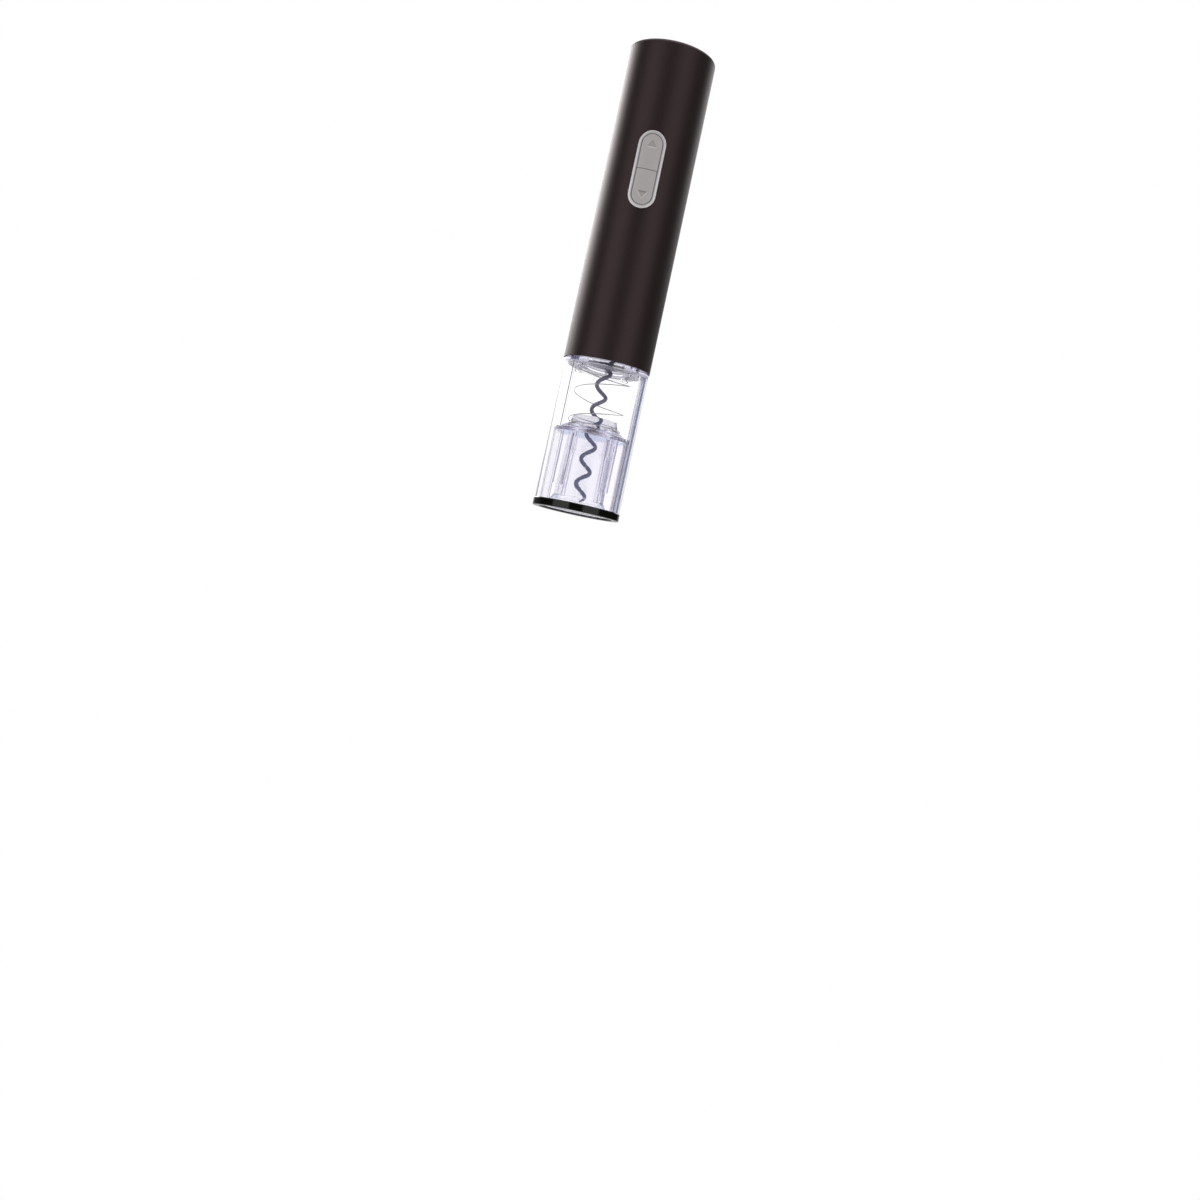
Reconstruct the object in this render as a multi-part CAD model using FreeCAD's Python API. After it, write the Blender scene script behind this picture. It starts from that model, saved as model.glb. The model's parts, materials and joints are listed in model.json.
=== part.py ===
"""Battery-powered wine opener: a slim tube with a geared motor that turns a worm inside a clear barrel.

Millimetres. +Z runs up the axis from the rim that stands on the bottle (z = 0) to the battery cap,
and -Y is the side with the two keys. Every function below makes one piece as it would lie on a bench.
"""
import FreeCAD, Part
import math
import os

V = FreeCAD.Vector
AXIS = V(0, 0, 1)
ORIGIN = V(0, 0, 0)

# ---- Overall form ----
BODY_R = 25.0                # outside of the housing and of the trim ring
TOTAL_H = 265.0
BARREL_TOP = 85.0            # the housing begins and the clear barrel ends here
HOUSING_WALL = 2.0
CAP_RIM = 2.4                # visible thickness of the battery cap
FIT = 0.25                   # gap round a piece that slides or drops in

# ---- Clear barrel ----
BARREL_R = 24.7
BARREL_BORE = 22.5
BARREL_DISC = 2.4            # thickness of the wall that closes the barrel's top
BARREL_AIR = 0.1             # air left between that wall and the dark parts above it
DISC_TOP = BARREL_TOP - BARREL_AIR
DISC_Z = DISC_TOP - BARREL_DISC
BARREL_LIP_R = 21.3          # snap lip that keeps the sleeve in
BARREL_LIP_H = 1.5
TRIM_H = 4.3
TRIM_WALL = 0.85
SPIGOT_R = 22.9              # ring that plugs into the housing
SPIGOT_WALL = 2.0
SPIGOT_TOP = BARREL_TOP + 6.5
SNAP_Z = BARREL_TOP + 3.0
SNAP_H = 1.6
SNAP_R = 23.3
SPRING_SEAT_R = 15.8
SPRING_SEAT_WALL = 1.2
SPRING_SEAT_H = 1.8
WORM_HOLE_R = 10.8
RIB_ANGLES = (15.0, 153.0, 195.0, 333.0)     # guide ribs that stop the sleeve turning
RIB_TIP_R = 21.6
RIB_W = 1.6

# ---- Neck sleeve ----
SLEEVE_Z0 = BARREL_LIP_H + 0.1
SLEEVE_R = 21.9
SLEEVE_WALL = 1.5
SLEEVE_SHOULDER_R = 19.6
SLEEVE_SHOULDER_Z = 46.5
COLLAR_TOP = 54.5
COLLAR_BASE_Z = 50.0
COLLAR_BASE_R = 14.0
COLLAR_TOP_R = 12.7
CORK_R_TOP = 11.2            # cork bore above its step
CORK_R_STEP = 12.2           # and just below it
CORK_R_BOTTOM = 13.0
CORK_STEP_Z = 34.0
MOUTH_R = 16.6               # flare that centres the bottle's mouth
MOUTH_H = 6.0
GRIP_R = 10.3                # tips of the ribs that stop the cork turning
GRIP_W = 1.4
GRIP_COUNT = 6

# ---- Return spring ----
SPRING_R = 15.2
SPRING_WIRE_R = 0.28
SPRING_PITCH = 16.9
SPRING_RIGHT_Z = 60.0        # height at which a turn crosses the +X side

# ---- Worm ----
WORM_R = 3.3                 # radius of the helix that the wire's centre follows
WORM_WIRE_R = 1.15
WORM_PITCH = 14.35
WORM_START_Z = 6.5
WORM_RIGHT_Z = 9.6           # height at which a turn crosses the +X side
WORM_BEND_Z = (80.5, 87.5)   # between these heights the wire leaves the helix for the axis
WORM_END_Z = 92.5
TIP_TURN = 0.32              # share of a turn that is ground to a point
WORM_SIDES = 12              # the round wire is modelled with this many sides
HUB_R = 6.2
HUB_Z0 = 84.3
HUB_FOOT_R = 3.2
HEX_FLATS = 7.0              # hexagonal drive between the output carrier and the hub
HEX_FOOT_Z = 93.2

# ---- Planetary gear train, three equal stages ----
MODULE = 0.6
PRESSURE_ANGLE = math.radians(25.0)
SUN_TEETH = 12
PLANET_TEETH = 15
RING_TEETH = SUN_TEETH + 2 * PLANET_TEETH
TOOTH_THINNING = 0.07        # taken off each tooth at its pitch circle, for backlash
PLANET_ANGLES = (90.0, 210.0, 330.0)
PLANET_ORBIT = MODULE * (SUN_TEETH + PLANET_TEETH) / 2.0
PIN_R = 1.5
PIN_FIT = 0.06
CARRIER_R = 11.4
AXIAL_GAP = 0.3
GEARBOX_R = 17.6
GEARBOX_SCREW_ORBIT = 15.7
GEARBOX_SCREW_R = 0.85
BARREL_SCREW_R = 0.95
BEAD_R = 18.6                # bead round the gearbox that the chassis ribs hold

# Heights of the gear train, from the output upwards
NOSE_PLATE_R = 20.3
NOSE_PLATE_H = 3.0
NOSE_RECESS_R = 10.5         # shallow recess round the hub, open to view through the barrel
NOSE_RECESS_H = 1.2
BARREL_SCREW_ORBIT = NOSE_PLATE_R - 2.6
BARREL_SCREW_SEAT = BARREL_TOP + NOSE_PLATE_H - 1.4
NOSE_TOP = BARREL_TOP + 8.0
BUSH_R = 8.0
BUSH_FLANGE_R = 9.6
BUSH_FLANGE_H = 1.0
WASHER_H = 0.6
HUB_FLANGE_R = 9.2
HUB_FLANGE_Z = NOSE_TOP + BUSH_FLANGE_H + WASHER_H + 0.05
OUTPUT_DISC_Z = HUB_FLANGE_Z + 1.8
STAGES = (                   # name, disc's underside, disc's thickness, gear width, first (motor) to last
    ("stage_1", 113.45, 1.4, 4.0),
    ("stage_2", 105.95, 1.6, 5.0),
    ("output", OUTPUT_DISC_Z, 2.0, 6.5),
)
RING_TOP = 119.9
MOTOR_PLATE_H = 3.0

# ---- Motor ----
MOTOR_Z0 = RING_TOP + MOTOR_PLATE_H
MOTOR_R = 13.85
MOTOR_LENGTH = 38.0
CAN_WALL = 1.0
CAN_BORE = MOTOR_R - CAN_WALL
MOTOR_BOSS_R = 5.0
MOTOR_BOSS_H = 2.0
MOTOR_SCREW_ORBIT = 8.0
SHAFT_R = 1.15
SHAFT_FIT = 0.05
ARMATURE_R = 8.6
ARMATURE_Z0 = MOTOR_Z0 + 6.5
ARMATURE_H = 19.0
POLES = 5
MAGNET_R_IN = 9.2
MAGNET_SPAN = 130.0
COMMUTATOR_R = 3.2
BRUSH_RING_R = COMMUTATOR_R + 2.8
BELL_H = 4.0

# ---- Chassis ----
CHASSIS_R = 22.7
CHASSIS_WALL = 1.6
CHASSIS_Z0 = SPIGOT_TOP + 1.0
CHASSIS_Z1 = 201.0
RAIL_W = 1.8
RAIL_DEPTH = 1.1
GEARBOX_RIB_Z = (98.2, 102.2, 116.0)
MOTOR_RIB_Z = (127.0, 142.0, 156.0)
RIB_H = 1.6
BOSS_X = 18.8
BOSS_R = 2.6
BOSS_DEPTH = 6.0
BOSS_Z = (134.5, 165.0, 195.0)
CHASSIS_SCREW_R = 1.05

# ---- Keys, bezel and switches ----
KEYS_Z = 192.0               # line where the two keys meet
BEZEL_W = 15.4
BEZEL_H = 43.3
BEZEL_R = 25.8               # the bezel's face is concentric with the housing
BEZEL_FLANGE_R = 24.2
BEZEL_OPENING_W = 11.9
KEY_W = 11.3
KEY_R = 25.5
KEY_GAP = 0.3
KEY_FLANGE = 1.0             # how far the key's flange reaches past its face, all round
KEY_FLANGE_Y = -21.7
KEY_TRAVEL = 0.8
ARROW_W = 5.3
ARROW_H = 4.0
ARROW_DEPTH = 0.35
ARROW_OFFSET = 14.4          # from the line between the keys to the arrow's middle
SWITCH_OFFSETS = {"up": 5.6, "down": -7.4}
SWITCH_FACE_Y = -19.3
SWITCH_SIZE = (12.8, 5.8, 6.5)
PLUNGER_R = 1.0
BOARD_T = 1.6
BOARD_W = 29.0

# ---- Leads ----
LEAD_R = 0.6
LEAD_SIDES = 8
SOLDER_R = 1.0
MOTOR_LEAD_X = 7.72          # just outside the motor's terminals
CELL_LEADS = ((4.6, 1, 177.5, 21.0), (6.1, -1, 188.0, 10.0))    # x, side in y, height and length of the bend

# ---- Battery bay ----
CELL_R = 7.1
CELL_H = 50.5
CELL_ORBIT = 10.5
CELL_ANGLES = (45.0, 135.0, 225.0, 315.0)
CELL_POINT = CELL_ORBIT / math.sqrt(2.0)     # each cell's axis stands this far out in x and in y
WELL_R = 7.45
WELL_WALL = 1.2
HOLDER_R = 19.2
HOLDER_Z0 = CHASSIS_Z1
HOLDER_FLOOR = 2.0
HOLDER_TOP = 255.0
CELL_Z0 = HOLDER_Z0 + HOLDER_FLOOR + 1.2
STRIP_T = 0.4                # sheet thickness of the contact strips
CAP_SEAM_Z = TOTAL_H - CAP_RIM
CAP_PLUG_R = BODY_R - HOUSING_WALL - FIT
CAP_FRAME_Z = 256.6          # underside of the frame that carries the cap's contacts


# ---- Small helpers ----
def cylinder(r, z0, z1, x=0.0, y=0.0):
    return Part.makeCylinder(r, z1 - z0, V(x, y, z0))


def cross_cylinder(r, y0, y1, x, z):
    """Cylinder along Y."""
    return Part.makeCylinder(r, y1 - y0, V(x, y0, z), V(0, 1, 0))


def tube(r_out, r_in, z0, z1):
    return cylinder(r_out, z0, z1).cut(cylinder(r_in, z0 - 1, z1 + 1))


def box(x0, x1, y0, y1, z0, z1):
    return Part.makeBox(x1 - x0, y1 - y0, z1 - z0, V(x0, y0, z0))


def turned(points):
    """Solid of revolution about Z from an (r, z) outline."""
    corners = [V(r, 0, z) for r, z in points]
    face = Part.Face(Part.makePolygon(corners + corners[:1]))
    return face.revolve(ORIGIN, AXIS, 360)


def rotated(shape, degrees):
    copy = shape.copy()
    copy.rotate(ORIGIN, AXIS, degrees)
    return copy


def around(shape, angles):
    """The same shape turned to each angle about the axis."""
    return [rotated(shape, a) for a in angles]


def spread(count, start=0.0):
    return [start + 360.0 * i / count for i in range(count)]


def joined(base, extras):
    return base.fuse(extras).removeSplitter()


def prism(points, z0, z1):
    """Upright prism over an (x, y) outline."""
    corners = [V(x, y, z0) for x, y in points]
    return Part.Face(Part.makePolygon(corners + corners[:1])).extrude(V(0, 0, z1 - z0))


def polar(r, degrees):
    a = math.radians(degrees)
    return (r * math.cos(a), r * math.sin(a))


def pill(width, height, y0, y1, z_mid=KEYS_Z):
    """Prism along Y whose outline is a slot with round ends."""
    r = width / 2.0
    half = height / 2.0 - r
    middle = box(-r, r, y0, y1, z_mid - half, z_mid + half)
    ends = [cross_cylinder(r, y0, y1, 0, z_mid + s * half) for s in (-1, 1)]
    return joined(middle, ends)


def screw(head_r, head_h, shank_r, length):
    """Pan-head screw: the head stands on z = 0 and the shank runs down from it, with a point."""
    slope = 0.25 * head_r
    outline = [(0, head_h), (head_r - slope, head_h), (head_r, head_h - slope), (head_r, 0)]
    outline += [(shank_r, 0), (shank_r, shank_r - length), (0, -length)]
    return turned(outline)


def placed(shape, position, direction=AXIS):
    copy = shape.copy()
    copy.Placement = FreeCAD.Placement(V(*position), FreeCAD.Rotation(AXIS, V(*direction)))
    return copy


# ---- Involute gears ----
def involute_half_angle(teeth, r):
    """Half the angle that one external tooth fills at radius r."""
    pitch_r = MODULE * teeth / 2.0
    base_r = pitch_r * math.cos(PRESSURE_ANGLE)

    def inv(radius):
        a = math.acos(min(1.0, base_r / radius))
        return math.tan(a) - a

    thickness = math.pi * MODULE / 2.0 - TOOTH_THINNING
    return thickness / (2.0 * pitch_r) + inv(pitch_r) - inv(max(r, base_r))


def gear_outline(teeth, phase):
    """Outline of an external gear with a tooth centred on the angle phase (degrees)."""
    pitch_r = MODULE * teeth / 2.0
    radii = (pitch_r - 1.25 * MODULE, pitch_r - 0.35 * MODULE, pitch_r + 0.35 * MODULE, pitch_r + MODULE)
    points = []
    for i in range(teeth):
        middle = phase + 360.0 * i / teeth
        halves = [math.degrees(involute_half_angle(teeth, r)) for r in radii]
        points += [polar(r, middle - h) for r, h in zip(radii, halves)]
        points += [polar(r, middle + h) for r, h in reversed(list(zip(radii, halves)))]
    return points


def ring_outline(phase):
    """Outline of the ring gear's bore, with a space centred on the angle phase (degrees)."""
    pitch_r = MODULE * RING_TEETH / 2.0
    radii = (pitch_r - 0.9 * MODULE, pitch_r, pitch_r + 1.2 * MODULE)
    widening = 2.0 * TOOTH_THINNING / pitch_r
    points = []
    for i in range(RING_TEETH):
        middle = phase + 360.0 * i / RING_TEETH
        halves = [math.degrees(involute_half_angle(RING_TEETH, r) + widening / 2.0) for r in radii]
        points += [polar(r, middle - h) for r, h in zip(radii, halves)]
        points += [polar(r, middle + h) for r, h in reversed(list(zip(radii, halves)))]
    return points


def planet_phase(angle):
    """Turn of a planet at this orbit angle that puts its teeth in the ring's spaces."""
    share = angle * RING_TEETH / 360.0 % 1.0
    return angle - share * 360.0 / PLANET_TEETH


def sun_phase():
    """Turn of a sun gear that meshes with all three planets at rest."""
    share = PLANET_ANGLES[0] * (SUN_TEETH + RING_TEETH) / 360.0 + (PLANET_TEETH - 1) / 2.0
    return share % 1.0 * 360.0 / SUN_TEETH


def gear(teeth, phase, z0, z1):
    return prism(gear_outline(teeth, phase), z0, z1)


# ---- Casing ----
def housing_tube():
    """One straight extruded-looking moulding, open at both ends, with the pocket for the keys."""
    inner = BODY_R - HOUSING_WALL
    edge = 0.4
    outline = [(inner, BARREL_TOP), (BODY_R - edge, BARREL_TOP), (BODY_R, BARREL_TOP + edge)]
    outline += [(BODY_R, CAP_SEAM_Z), (inner, CAP_SEAM_Z)]
    shell = turned(outline)
    groove = tube(SNAP_R + 0.05, inner - 0.1, SNAP_Z - 0.1, SNAP_Z + SNAP_H + 0.1)
    rail = box(inner - RAIL_DEPTH, inner + 0.3, -RAIL_W / 2, RAIL_W / 2, CHASSIS_Z0 + 6, CHASSIS_Z1)
    pocket_face = pill(BEZEL_W + 0.1, BEZEL_H + 0.1, -30, -15).cut(cylinder(BEZEL_FLANGE_R, 150, 240))
    pocket = pill(BEZEL_W - 1.5, BEZEL_H - 1.5, -30, -15)
    return joined(shell, around(rail, (0, 180))).cut([groove, pocket, pocket_face])


def trim_ring():
    """Black ring pressed over the foot of the clear barrel."""
    edge = 0.35
    outline = [(BODY_R - TRIM_WALL, 0), (BODY_R - edge, 0), (BODY_R, edge), (BODY_R, TRIM_H - edge)]
    outline += [(BODY_R - edge, TRIM_H), (BODY_R - TRIM_WALL, TRIM_H)]
    return turned(outline)


def clear_barrel():
    """Clear barrel: wall, closed top with the spring's seat, spigot, guide ribs and snap beads."""
    seat_z = DISC_Z - SPRING_SEAT_H
    seat_out = SPRING_SEAT_R + SPRING_SEAT_WALL
    foot_r = BODY_R - TRIM_WALL
    outline = [(BARREL_LIP_R, 0), (foot_r, 0), (foot_r, TRIM_H), (BARREL_R, TRIM_H), (BARREL_R, DISC_TOP)]
    outline += [(SPIGOT_R, DISC_TOP), (SPIGOT_R, SPIGOT_TOP), (SPIGOT_R - SPIGOT_WALL, SPIGOT_TOP)]
    outline += [(SPIGOT_R - SPIGOT_WALL, DISC_TOP), (WORM_HOLE_R, DISC_TOP), (WORM_HOLE_R, DISC_Z)]
    outline += [(SPRING_SEAT_R, DISC_Z), (SPRING_SEAT_R, seat_z), (seat_out, seat_z), (seat_out, DISC_Z)]
    outline += [(BARREL_BORE, DISC_Z), (BARREL_BORE, BARREL_LIP_H), (BARREL_LIP_R, BARREL_LIP_H)]
    wall = turned(outline)
    rib = box(RIB_TIP_R, BARREL_BORE + 0.4, -RIB_W / 2, RIB_W / 2, 0.5, DISC_Z + 0.5)
    web = box(seat_out - 0.4, BARREL_BORE + 0.4, -0.6, 0.6, seat_z, DISC_Z + 0.5)
    bead_profile = box(SPIGOT_R - 0.3, SNAP_R + 0.2, -4.0, 4.0, SNAP_Z, SNAP_Z + SNAP_H)
    bead = bead_profile.common(cylinder(SNAP_R, SNAP_Z - 1, SNAP_Z + SNAP_H + 1))
    pad = cylinder(1.9, DISC_Z + 1, BARREL_TOP, *polar(BARREL_SCREW_ORBIT, 90))
    extras = around(rib, RIB_ANGLES) + around(web, spread(4, 54)) + around(bead, spread(3, 30))
    extras += around(pad, spread(3))
    hole = cylinder(BARREL_SCREW_R, BARREL_TOP - 1.9, BARREL_TOP + 2, *polar(BARREL_SCREW_ORBIT, 90))
    return joined(wall, extras).cut(around(hole, spread(3)))


def neck_sleeve():
    """Clear sleeve that rests on the bottle, takes the cork and slides up inside the barrel."""
    skirt_in = SLEEVE_R - SLEEVE_WALL
    mouth_z = SLEEVE_Z0 + MOUTH_H
    outline = [(SLEEVE_R, SLEEVE_Z0), (SLEEVE_R, SLEEVE_SHOULDER_Z - 1.9)]
    outline += [(SLEEVE_R - 0.6, SLEEVE_SHOULDER_Z - 0.7), (SLEEVE_SHOULDER_R, SLEEVE_SHOULDER_Z)]
    outline += [(COLLAR_BASE_R, COLLAR_BASE_Z), (COLLAR_TOP_R, COLLAR_TOP), (CORK_R_TOP, COLLAR_TOP)]
    outline += [(CORK_R_TOP, CORK_STEP_Z), (CORK_R_STEP, CORK_STEP_Z), (CORK_R_BOTTOM, mouth_z)]
    outline += [(MOUTH_R, SLEEVE_Z0 + 1.0), (MOUTH_R, SLEEVE_Z0), (MOUTH_R + 1.3, SLEEVE_Z0)]
    outline += [(MOUTH_R + 1.3, SLEEVE_Z0 + 1.4), (CORK_R_BOTTOM + 1.5, mouth_z + 0.6)]
    outline += [(COLLAR_BASE_R - 0.3, COLLAR_BASE_Z - 3.6)]
    outline += [(SLEEVE_SHOULDER_R - 0.4, SLEEVE_SHOULDER_Z - 1.8)]
    outline += [(skirt_in, SLEEVE_SHOULDER_Z - 2.8), (skirt_in, SLEEVE_Z0)]
    body = turned(outline)
    grip = box(GRIP_R, CORK_R_BOTTOM + 0.5, -GRIP_W / 2, GRIP_W / 2, mouth_z + 1.5, CORK_STEP_Z + 12)
    web = box(COLLAR_BASE_R - 0.4, skirt_in + 0.5, -0.6, 0.6, mouth_z + 6, SLEEVE_SHOULDER_Z - 3)
    body = joined(body, around(grip, spread(GRIP_COUNT, 30)) + around(web, spread(4, 45)))
    groove_w = RIB_W + 2 * FIT
    groove = box(RIB_TIP_R - FIT - 0.2, SLEEVE_R + 1, -groove_w / 2, groove_w / 2, 0, COLLAR_TOP)
    return body.cut(around(groove, RIB_ANGLES))


def helix_wire(radius, pitch, right_z, z0, z1):
    """Right-handed helix from z0 to z1 that crosses the +X side at the height right_z."""
    wire = Part.makeHelix(pitch, z1 - z0, radius)
    wire.rotate(ORIGIN, AXIS, 360.0 * (z0 - right_z) / pitch)
    wire.translate(V(0, 0, z0))
    return wire


def wire_section(wire_r, sides, centre, tangent, outward):
    """Outline of the wire, a many-sided polygon square to its path, with a corner facing outward."""
    across = tangent.cross(outward).normalize()
    away = across.cross(tangent)
    corners = []
    for i in range(sides):
        a = 2 * math.pi * i / sides
        corners.append(centre + away * (wire_r * math.cos(a)) + across * (wire_r * math.sin(a)))
    return Part.makePolygon(corners + corners[:1])


def helix_frame(radius, pitch, right_z, z):
    """Point of the helix at height z, its tangent, and the direction away from the axis."""
    turn = 2 * math.pi * (z - right_z) / pitch
    outward = V(math.cos(turn), math.sin(turn), 0)
    tangent = V(-math.sin(turn) * radius, math.cos(turn) * radius, pitch / (2 * math.pi)).normalize()
    return outward * radius + V(0, 0, z), tangent, outward


def coil(radius, wire_r, sides, pitch, right_z, z0, z1):
    """Wire wound on a helix."""
    path = helix_wire(radius, pitch, right_z, z0, z1)
    section = wire_section(wire_r, sides, *helix_frame(radius, pitch, right_z, z0))
    return Part.Wire(path.Edges).makePipeShell([section], True, True)


def return_spring():
    """Light open compression spring between the sleeve's shoulder and the barrel's closed top."""
    slope = (COLLAR_BASE_Z - SLEEVE_SHOULDER_Z) / (SLEEVE_SHOULDER_R - COLLAR_BASE_R)
    seat = COLLAR_BASE_Z - (SPRING_R - COLLAR_BASE_R) * slope
    z0 = seat + SPRING_WIRE_R + 0.15
    z1 = DISC_Z - SPRING_WIRE_R
    return coil(SPRING_R, SPRING_WIRE_R, 6, SPRING_PITCH, SPRING_RIGHT_Z, z0, z1)


# ---- Worm and output ----
def worm_bend(share):
    """Point, tangent and outward direction where the wire leaves the helix and comes in to the axis."""
    low, high = WORM_BEND_Z
    z = low + (high - low) * share
    turn = 2 * math.pi * (z - WORM_RIGHT_Z) / WORM_PITCH
    radius = WORM_R * (1 - share * share * (3 - 2 * share))
    inward = -6 * WORM_R * share * (1 - share) / (high - low)
    outward = V(math.cos(turn), math.sin(turn), 0)
    sideways = V(-outward.y, outward.x, 0) * (radius * 2 * math.pi / WORM_PITCH)
    tangent = (outward * inward + sideways + AXIS).normalize()
    return outward * radius + V(0, 0, z), tangent, outward


def worm_shank(foot):
    """Top of the worm's wire, from the section foot: a bend from the helix to the axis, then straight up."""
    steps = 8
    bend = [wire_section(WORM_WIRE_R, WORM_SIDES, *worm_bend(i / steps)) for i in range(1, steps + 1)]
    straight = Part.Face(bend[-1]).extrude(V(0, 0, WORM_END_Z - WORM_BEND_Z[1]))
    return Part.makeLoft([foot] + bend, True, True).fuse(straight)


def worm():
    """Open helical worm of round wire: ground to a point at its foot, with a straight shank on the axis."""
    tip_z = WORM_START_Z + TIP_TURN * WORM_PITCH
    turns = coil(WORM_R, WORM_WIRE_R, WORM_SIDES, WORM_PITCH, WORM_RIGHT_Z, tip_z, WORM_BEND_Z[0])
    flat_ends = [face for face in turns.Faces if len(face.Edges) == WORM_SIDES]
    upper = max(flat_ends, key=lambda face: face.CenterOfMass.z)
    steps = 6
    point = []
    for i in range(steps + 1):
        share = i / steps
        z = WORM_START_Z + (tip_z - WORM_START_Z) * share
        radius = WORM_WIRE_R * (0.1 + 0.9 * math.sqrt(share))
        point.append(wire_section(radius, WORM_SIDES, *helix_frame(WORM_R, WORM_PITCH, WORM_RIGHT_Z, z)))
    return turns.fuse([Part.makeLoft(point, True), worm_shank(upper.OuterWire)])


def hexagon(flats, z0, z1):
    corner = flats / math.sqrt(3.0)
    return prism([polar(corner, a) for a in spread(6)], z0, z1)


def worm_hub():
    """Hub moulded round the worm's shank, with a thrust flange and a hexagonal socket."""
    shoulder_z = BARREL_TOP + NOSE_RECESS_H
    outline = [(0, HUB_Z0), (HUB_FOOT_R - 0.3, HUB_Z0), (HUB_FOOT_R, HUB_Z0 + 0.3), (HUB_R - 1.6, shoulder_z)]
    outline += [(HUB_R, shoulder_z + 0.4), (HUB_R, HUB_FLANGE_Z)]
    outline += [(HUB_FLANGE_R, HUB_FLANGE_Z), (HUB_FLANGE_R, OUTPUT_DISC_Z), (0, OUTPUT_DISC_Z)]
    shank = worm_shank(wire_section(WORM_WIRE_R, WORM_SIDES, *worm_bend(0)))
    return turned(outline).cut([shank, hexagon(HEX_FLATS, HEX_FOOT_Z - 0.5, OUTPUT_DISC_Z + 1)])


def gearbox_nose():
    """Plate that closes the gearbox's output end and holds the bush."""
    recess_z = BARREL_TOP + NOSE_RECESS_H
    outline = [(BUSH_R, recess_z), (NOSE_RECESS_R, recess_z), (NOSE_RECESS_R, BARREL_TOP)]
    outline += [(NOSE_PLATE_R, BARREL_TOP), (NOSE_PLATE_R, BARREL_TOP + NOSE_PLATE_H)]
    outline += [(13.6, BARREL_TOP + NOSE_PLATE_H), (13.6, BARREL_TOP + 5), (10.2, BARREL_TOP + 5)]
    outline += [(10.2, NOSE_TOP), (BUSH_R, NOSE_TOP)]
    plate = turned(outline)
    place = polar(BARREL_SCREW_ORBIT, 90)
    barrel_hole = cylinder(1.2, BARREL_TOP - 1, BARREL_TOP + 9, *place)
    sink = cylinder(2.2, BARREL_SCREW_SEAT, BARREL_TOP + 9, *place)
    long_hole = cylinder(GEARBOX_SCREW_R, BARREL_TOP + 0.6, BARREL_TOP + 9, *polar(GEARBOX_SCREW_ORBIT, 30))
    drilled = barrel_hole.fuse([sink, long_hole])
    pin_hole = cylinder(0.7, recess_z - 0.5, recess_z + 1.2, *polar(9.2, 70))
    return plate.cut(around(drilled, spread(3)) + around(pin_hole, (0, 180)))


def output_bush():
    foot = BARREL_TOP + NOSE_RECESS_H + 0.3
    outline = [(HUB_R + SHAFT_FIT, foot), (BUSH_R, foot), (BUSH_R, NOSE_TOP)]
    outline += [(BUSH_FLANGE_R, NOSE_TOP), (BUSH_FLANGE_R, NOSE_TOP + BUSH_FLANGE_H)]
    outline += [(HUB_R + SHAFT_FIT, NOSE_TOP + BUSH_FLANGE_H)]
    return turned(outline)


def thrust_washer():
    z0 = NOSE_TOP + BUSH_FLANGE_H
    return tube(HUB_FLANGE_R, HUB_R + 0.1, z0, z0 + WASHER_H)


def ring_gear():
    """Gearbox barrel: one internal gear along its whole bore serves the three stages."""
    skirt_z = BARREL_TOP + NOSE_PLATE_H
    teeth_z = OUTPUT_DISC_Z - 1.0
    blank = cylinder(GEARBOX_R, skirt_z, RING_TOP)
    bead = tube(BEAD_R, GEARBOX_R - 0.5, GEARBOX_RIB_Z[0] + RIB_H, GEARBOX_RIB_Z[1])
    bore = prism(ring_outline(0.0), teeth_z - 0.01, RING_TOP + 1)
    lower = cylinder(13.6, skirt_z - 1, teeth_z)
    hole = cylinder(1.05, skirt_z - 1, RING_TOP + 1, *polar(GEARBOX_SCREW_ORBIT, 30))
    return joined(blank, [bead]).cut([bore, lower] + around(hole, spread(3)))


def carrier(stage):
    """Planet carrier: a disc with the pin holes, and the next stage's drive on its underside."""
    name, z0, thickness, width = STAGES[stage]
    disc = cylinder(CARRIER_R, z0, z0 + thickness)
    pin_hole = cylinder(PIN_R, z0 - 1, z0 + thickness + 1, *polar(PLANET_ORBIT, PLANET_ANGLES[0]))
    disc = disc.cut(around(pin_hole, spread(3)))
    if name == "output":
        return joined(disc, [hexagon(HEX_FLATS, HEX_FOOT_Z, z0)])
    below = STAGES[stage + 1]
    foot = below[1] + below[2] + AXIAL_GAP
    return joined(disc, [gear(SUN_TEETH, sun_phase(), foot, z0)])


def gear_band(stage):
    """Lower and upper height of one stage's planets."""
    name, z0, thickness, width = STAGES[stage]
    foot = z0 + thickness + AXIAL_GAP
    return foot, foot + width


def planet_pins(stage):
    z0 = STAGES[stage][1]
    pin = cylinder(PIN_R, z0, gear_band(stage)[1] + 0.3, *polar(PLANET_ORBIT, PLANET_ANGLES[0]))
    return Part.makeCompound(around(pin, spread(3)))


def planet(stage, angle):
    """Planet gear with its teeth turned into the ring's spaces."""
    foot, top = gear_band(stage)
    wheel = gear(PLANET_TEETH, planet_phase(angle), foot, top)
    wheel = wheel.cut(cylinder(PIN_R + PIN_FIT, foot - 1, top + 1))
    wheel.translate(V(*polar(PLANET_ORBIT, angle), 0))
    return wheel


def motor_plate():
    """Plate between gearbox and motor, with a hole for the motor's boss."""
    plate = tube(GEARBOX_R, MOTOR_BOSS_R + 0.05, RING_TOP, MOTOR_Z0)
    shank = cylinder(1.3, RING_TOP - 1, MOTOR_Z0 + 1, MOTOR_SCREW_ORBIT)
    sink = cylinder(2.3, RING_TOP - 1, RING_TOP + 1.5, MOTOR_SCREW_ORBIT)
    long_hole = cylinder(1.05, RING_TOP - 1, MOTOR_Z0 + 1, *polar(GEARBOX_SCREW_ORBIT, 30))
    return plate.cut(around(shank, (0, 180)) + around(sink, (0, 180)) + around(long_hole, spread(3)))


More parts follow.
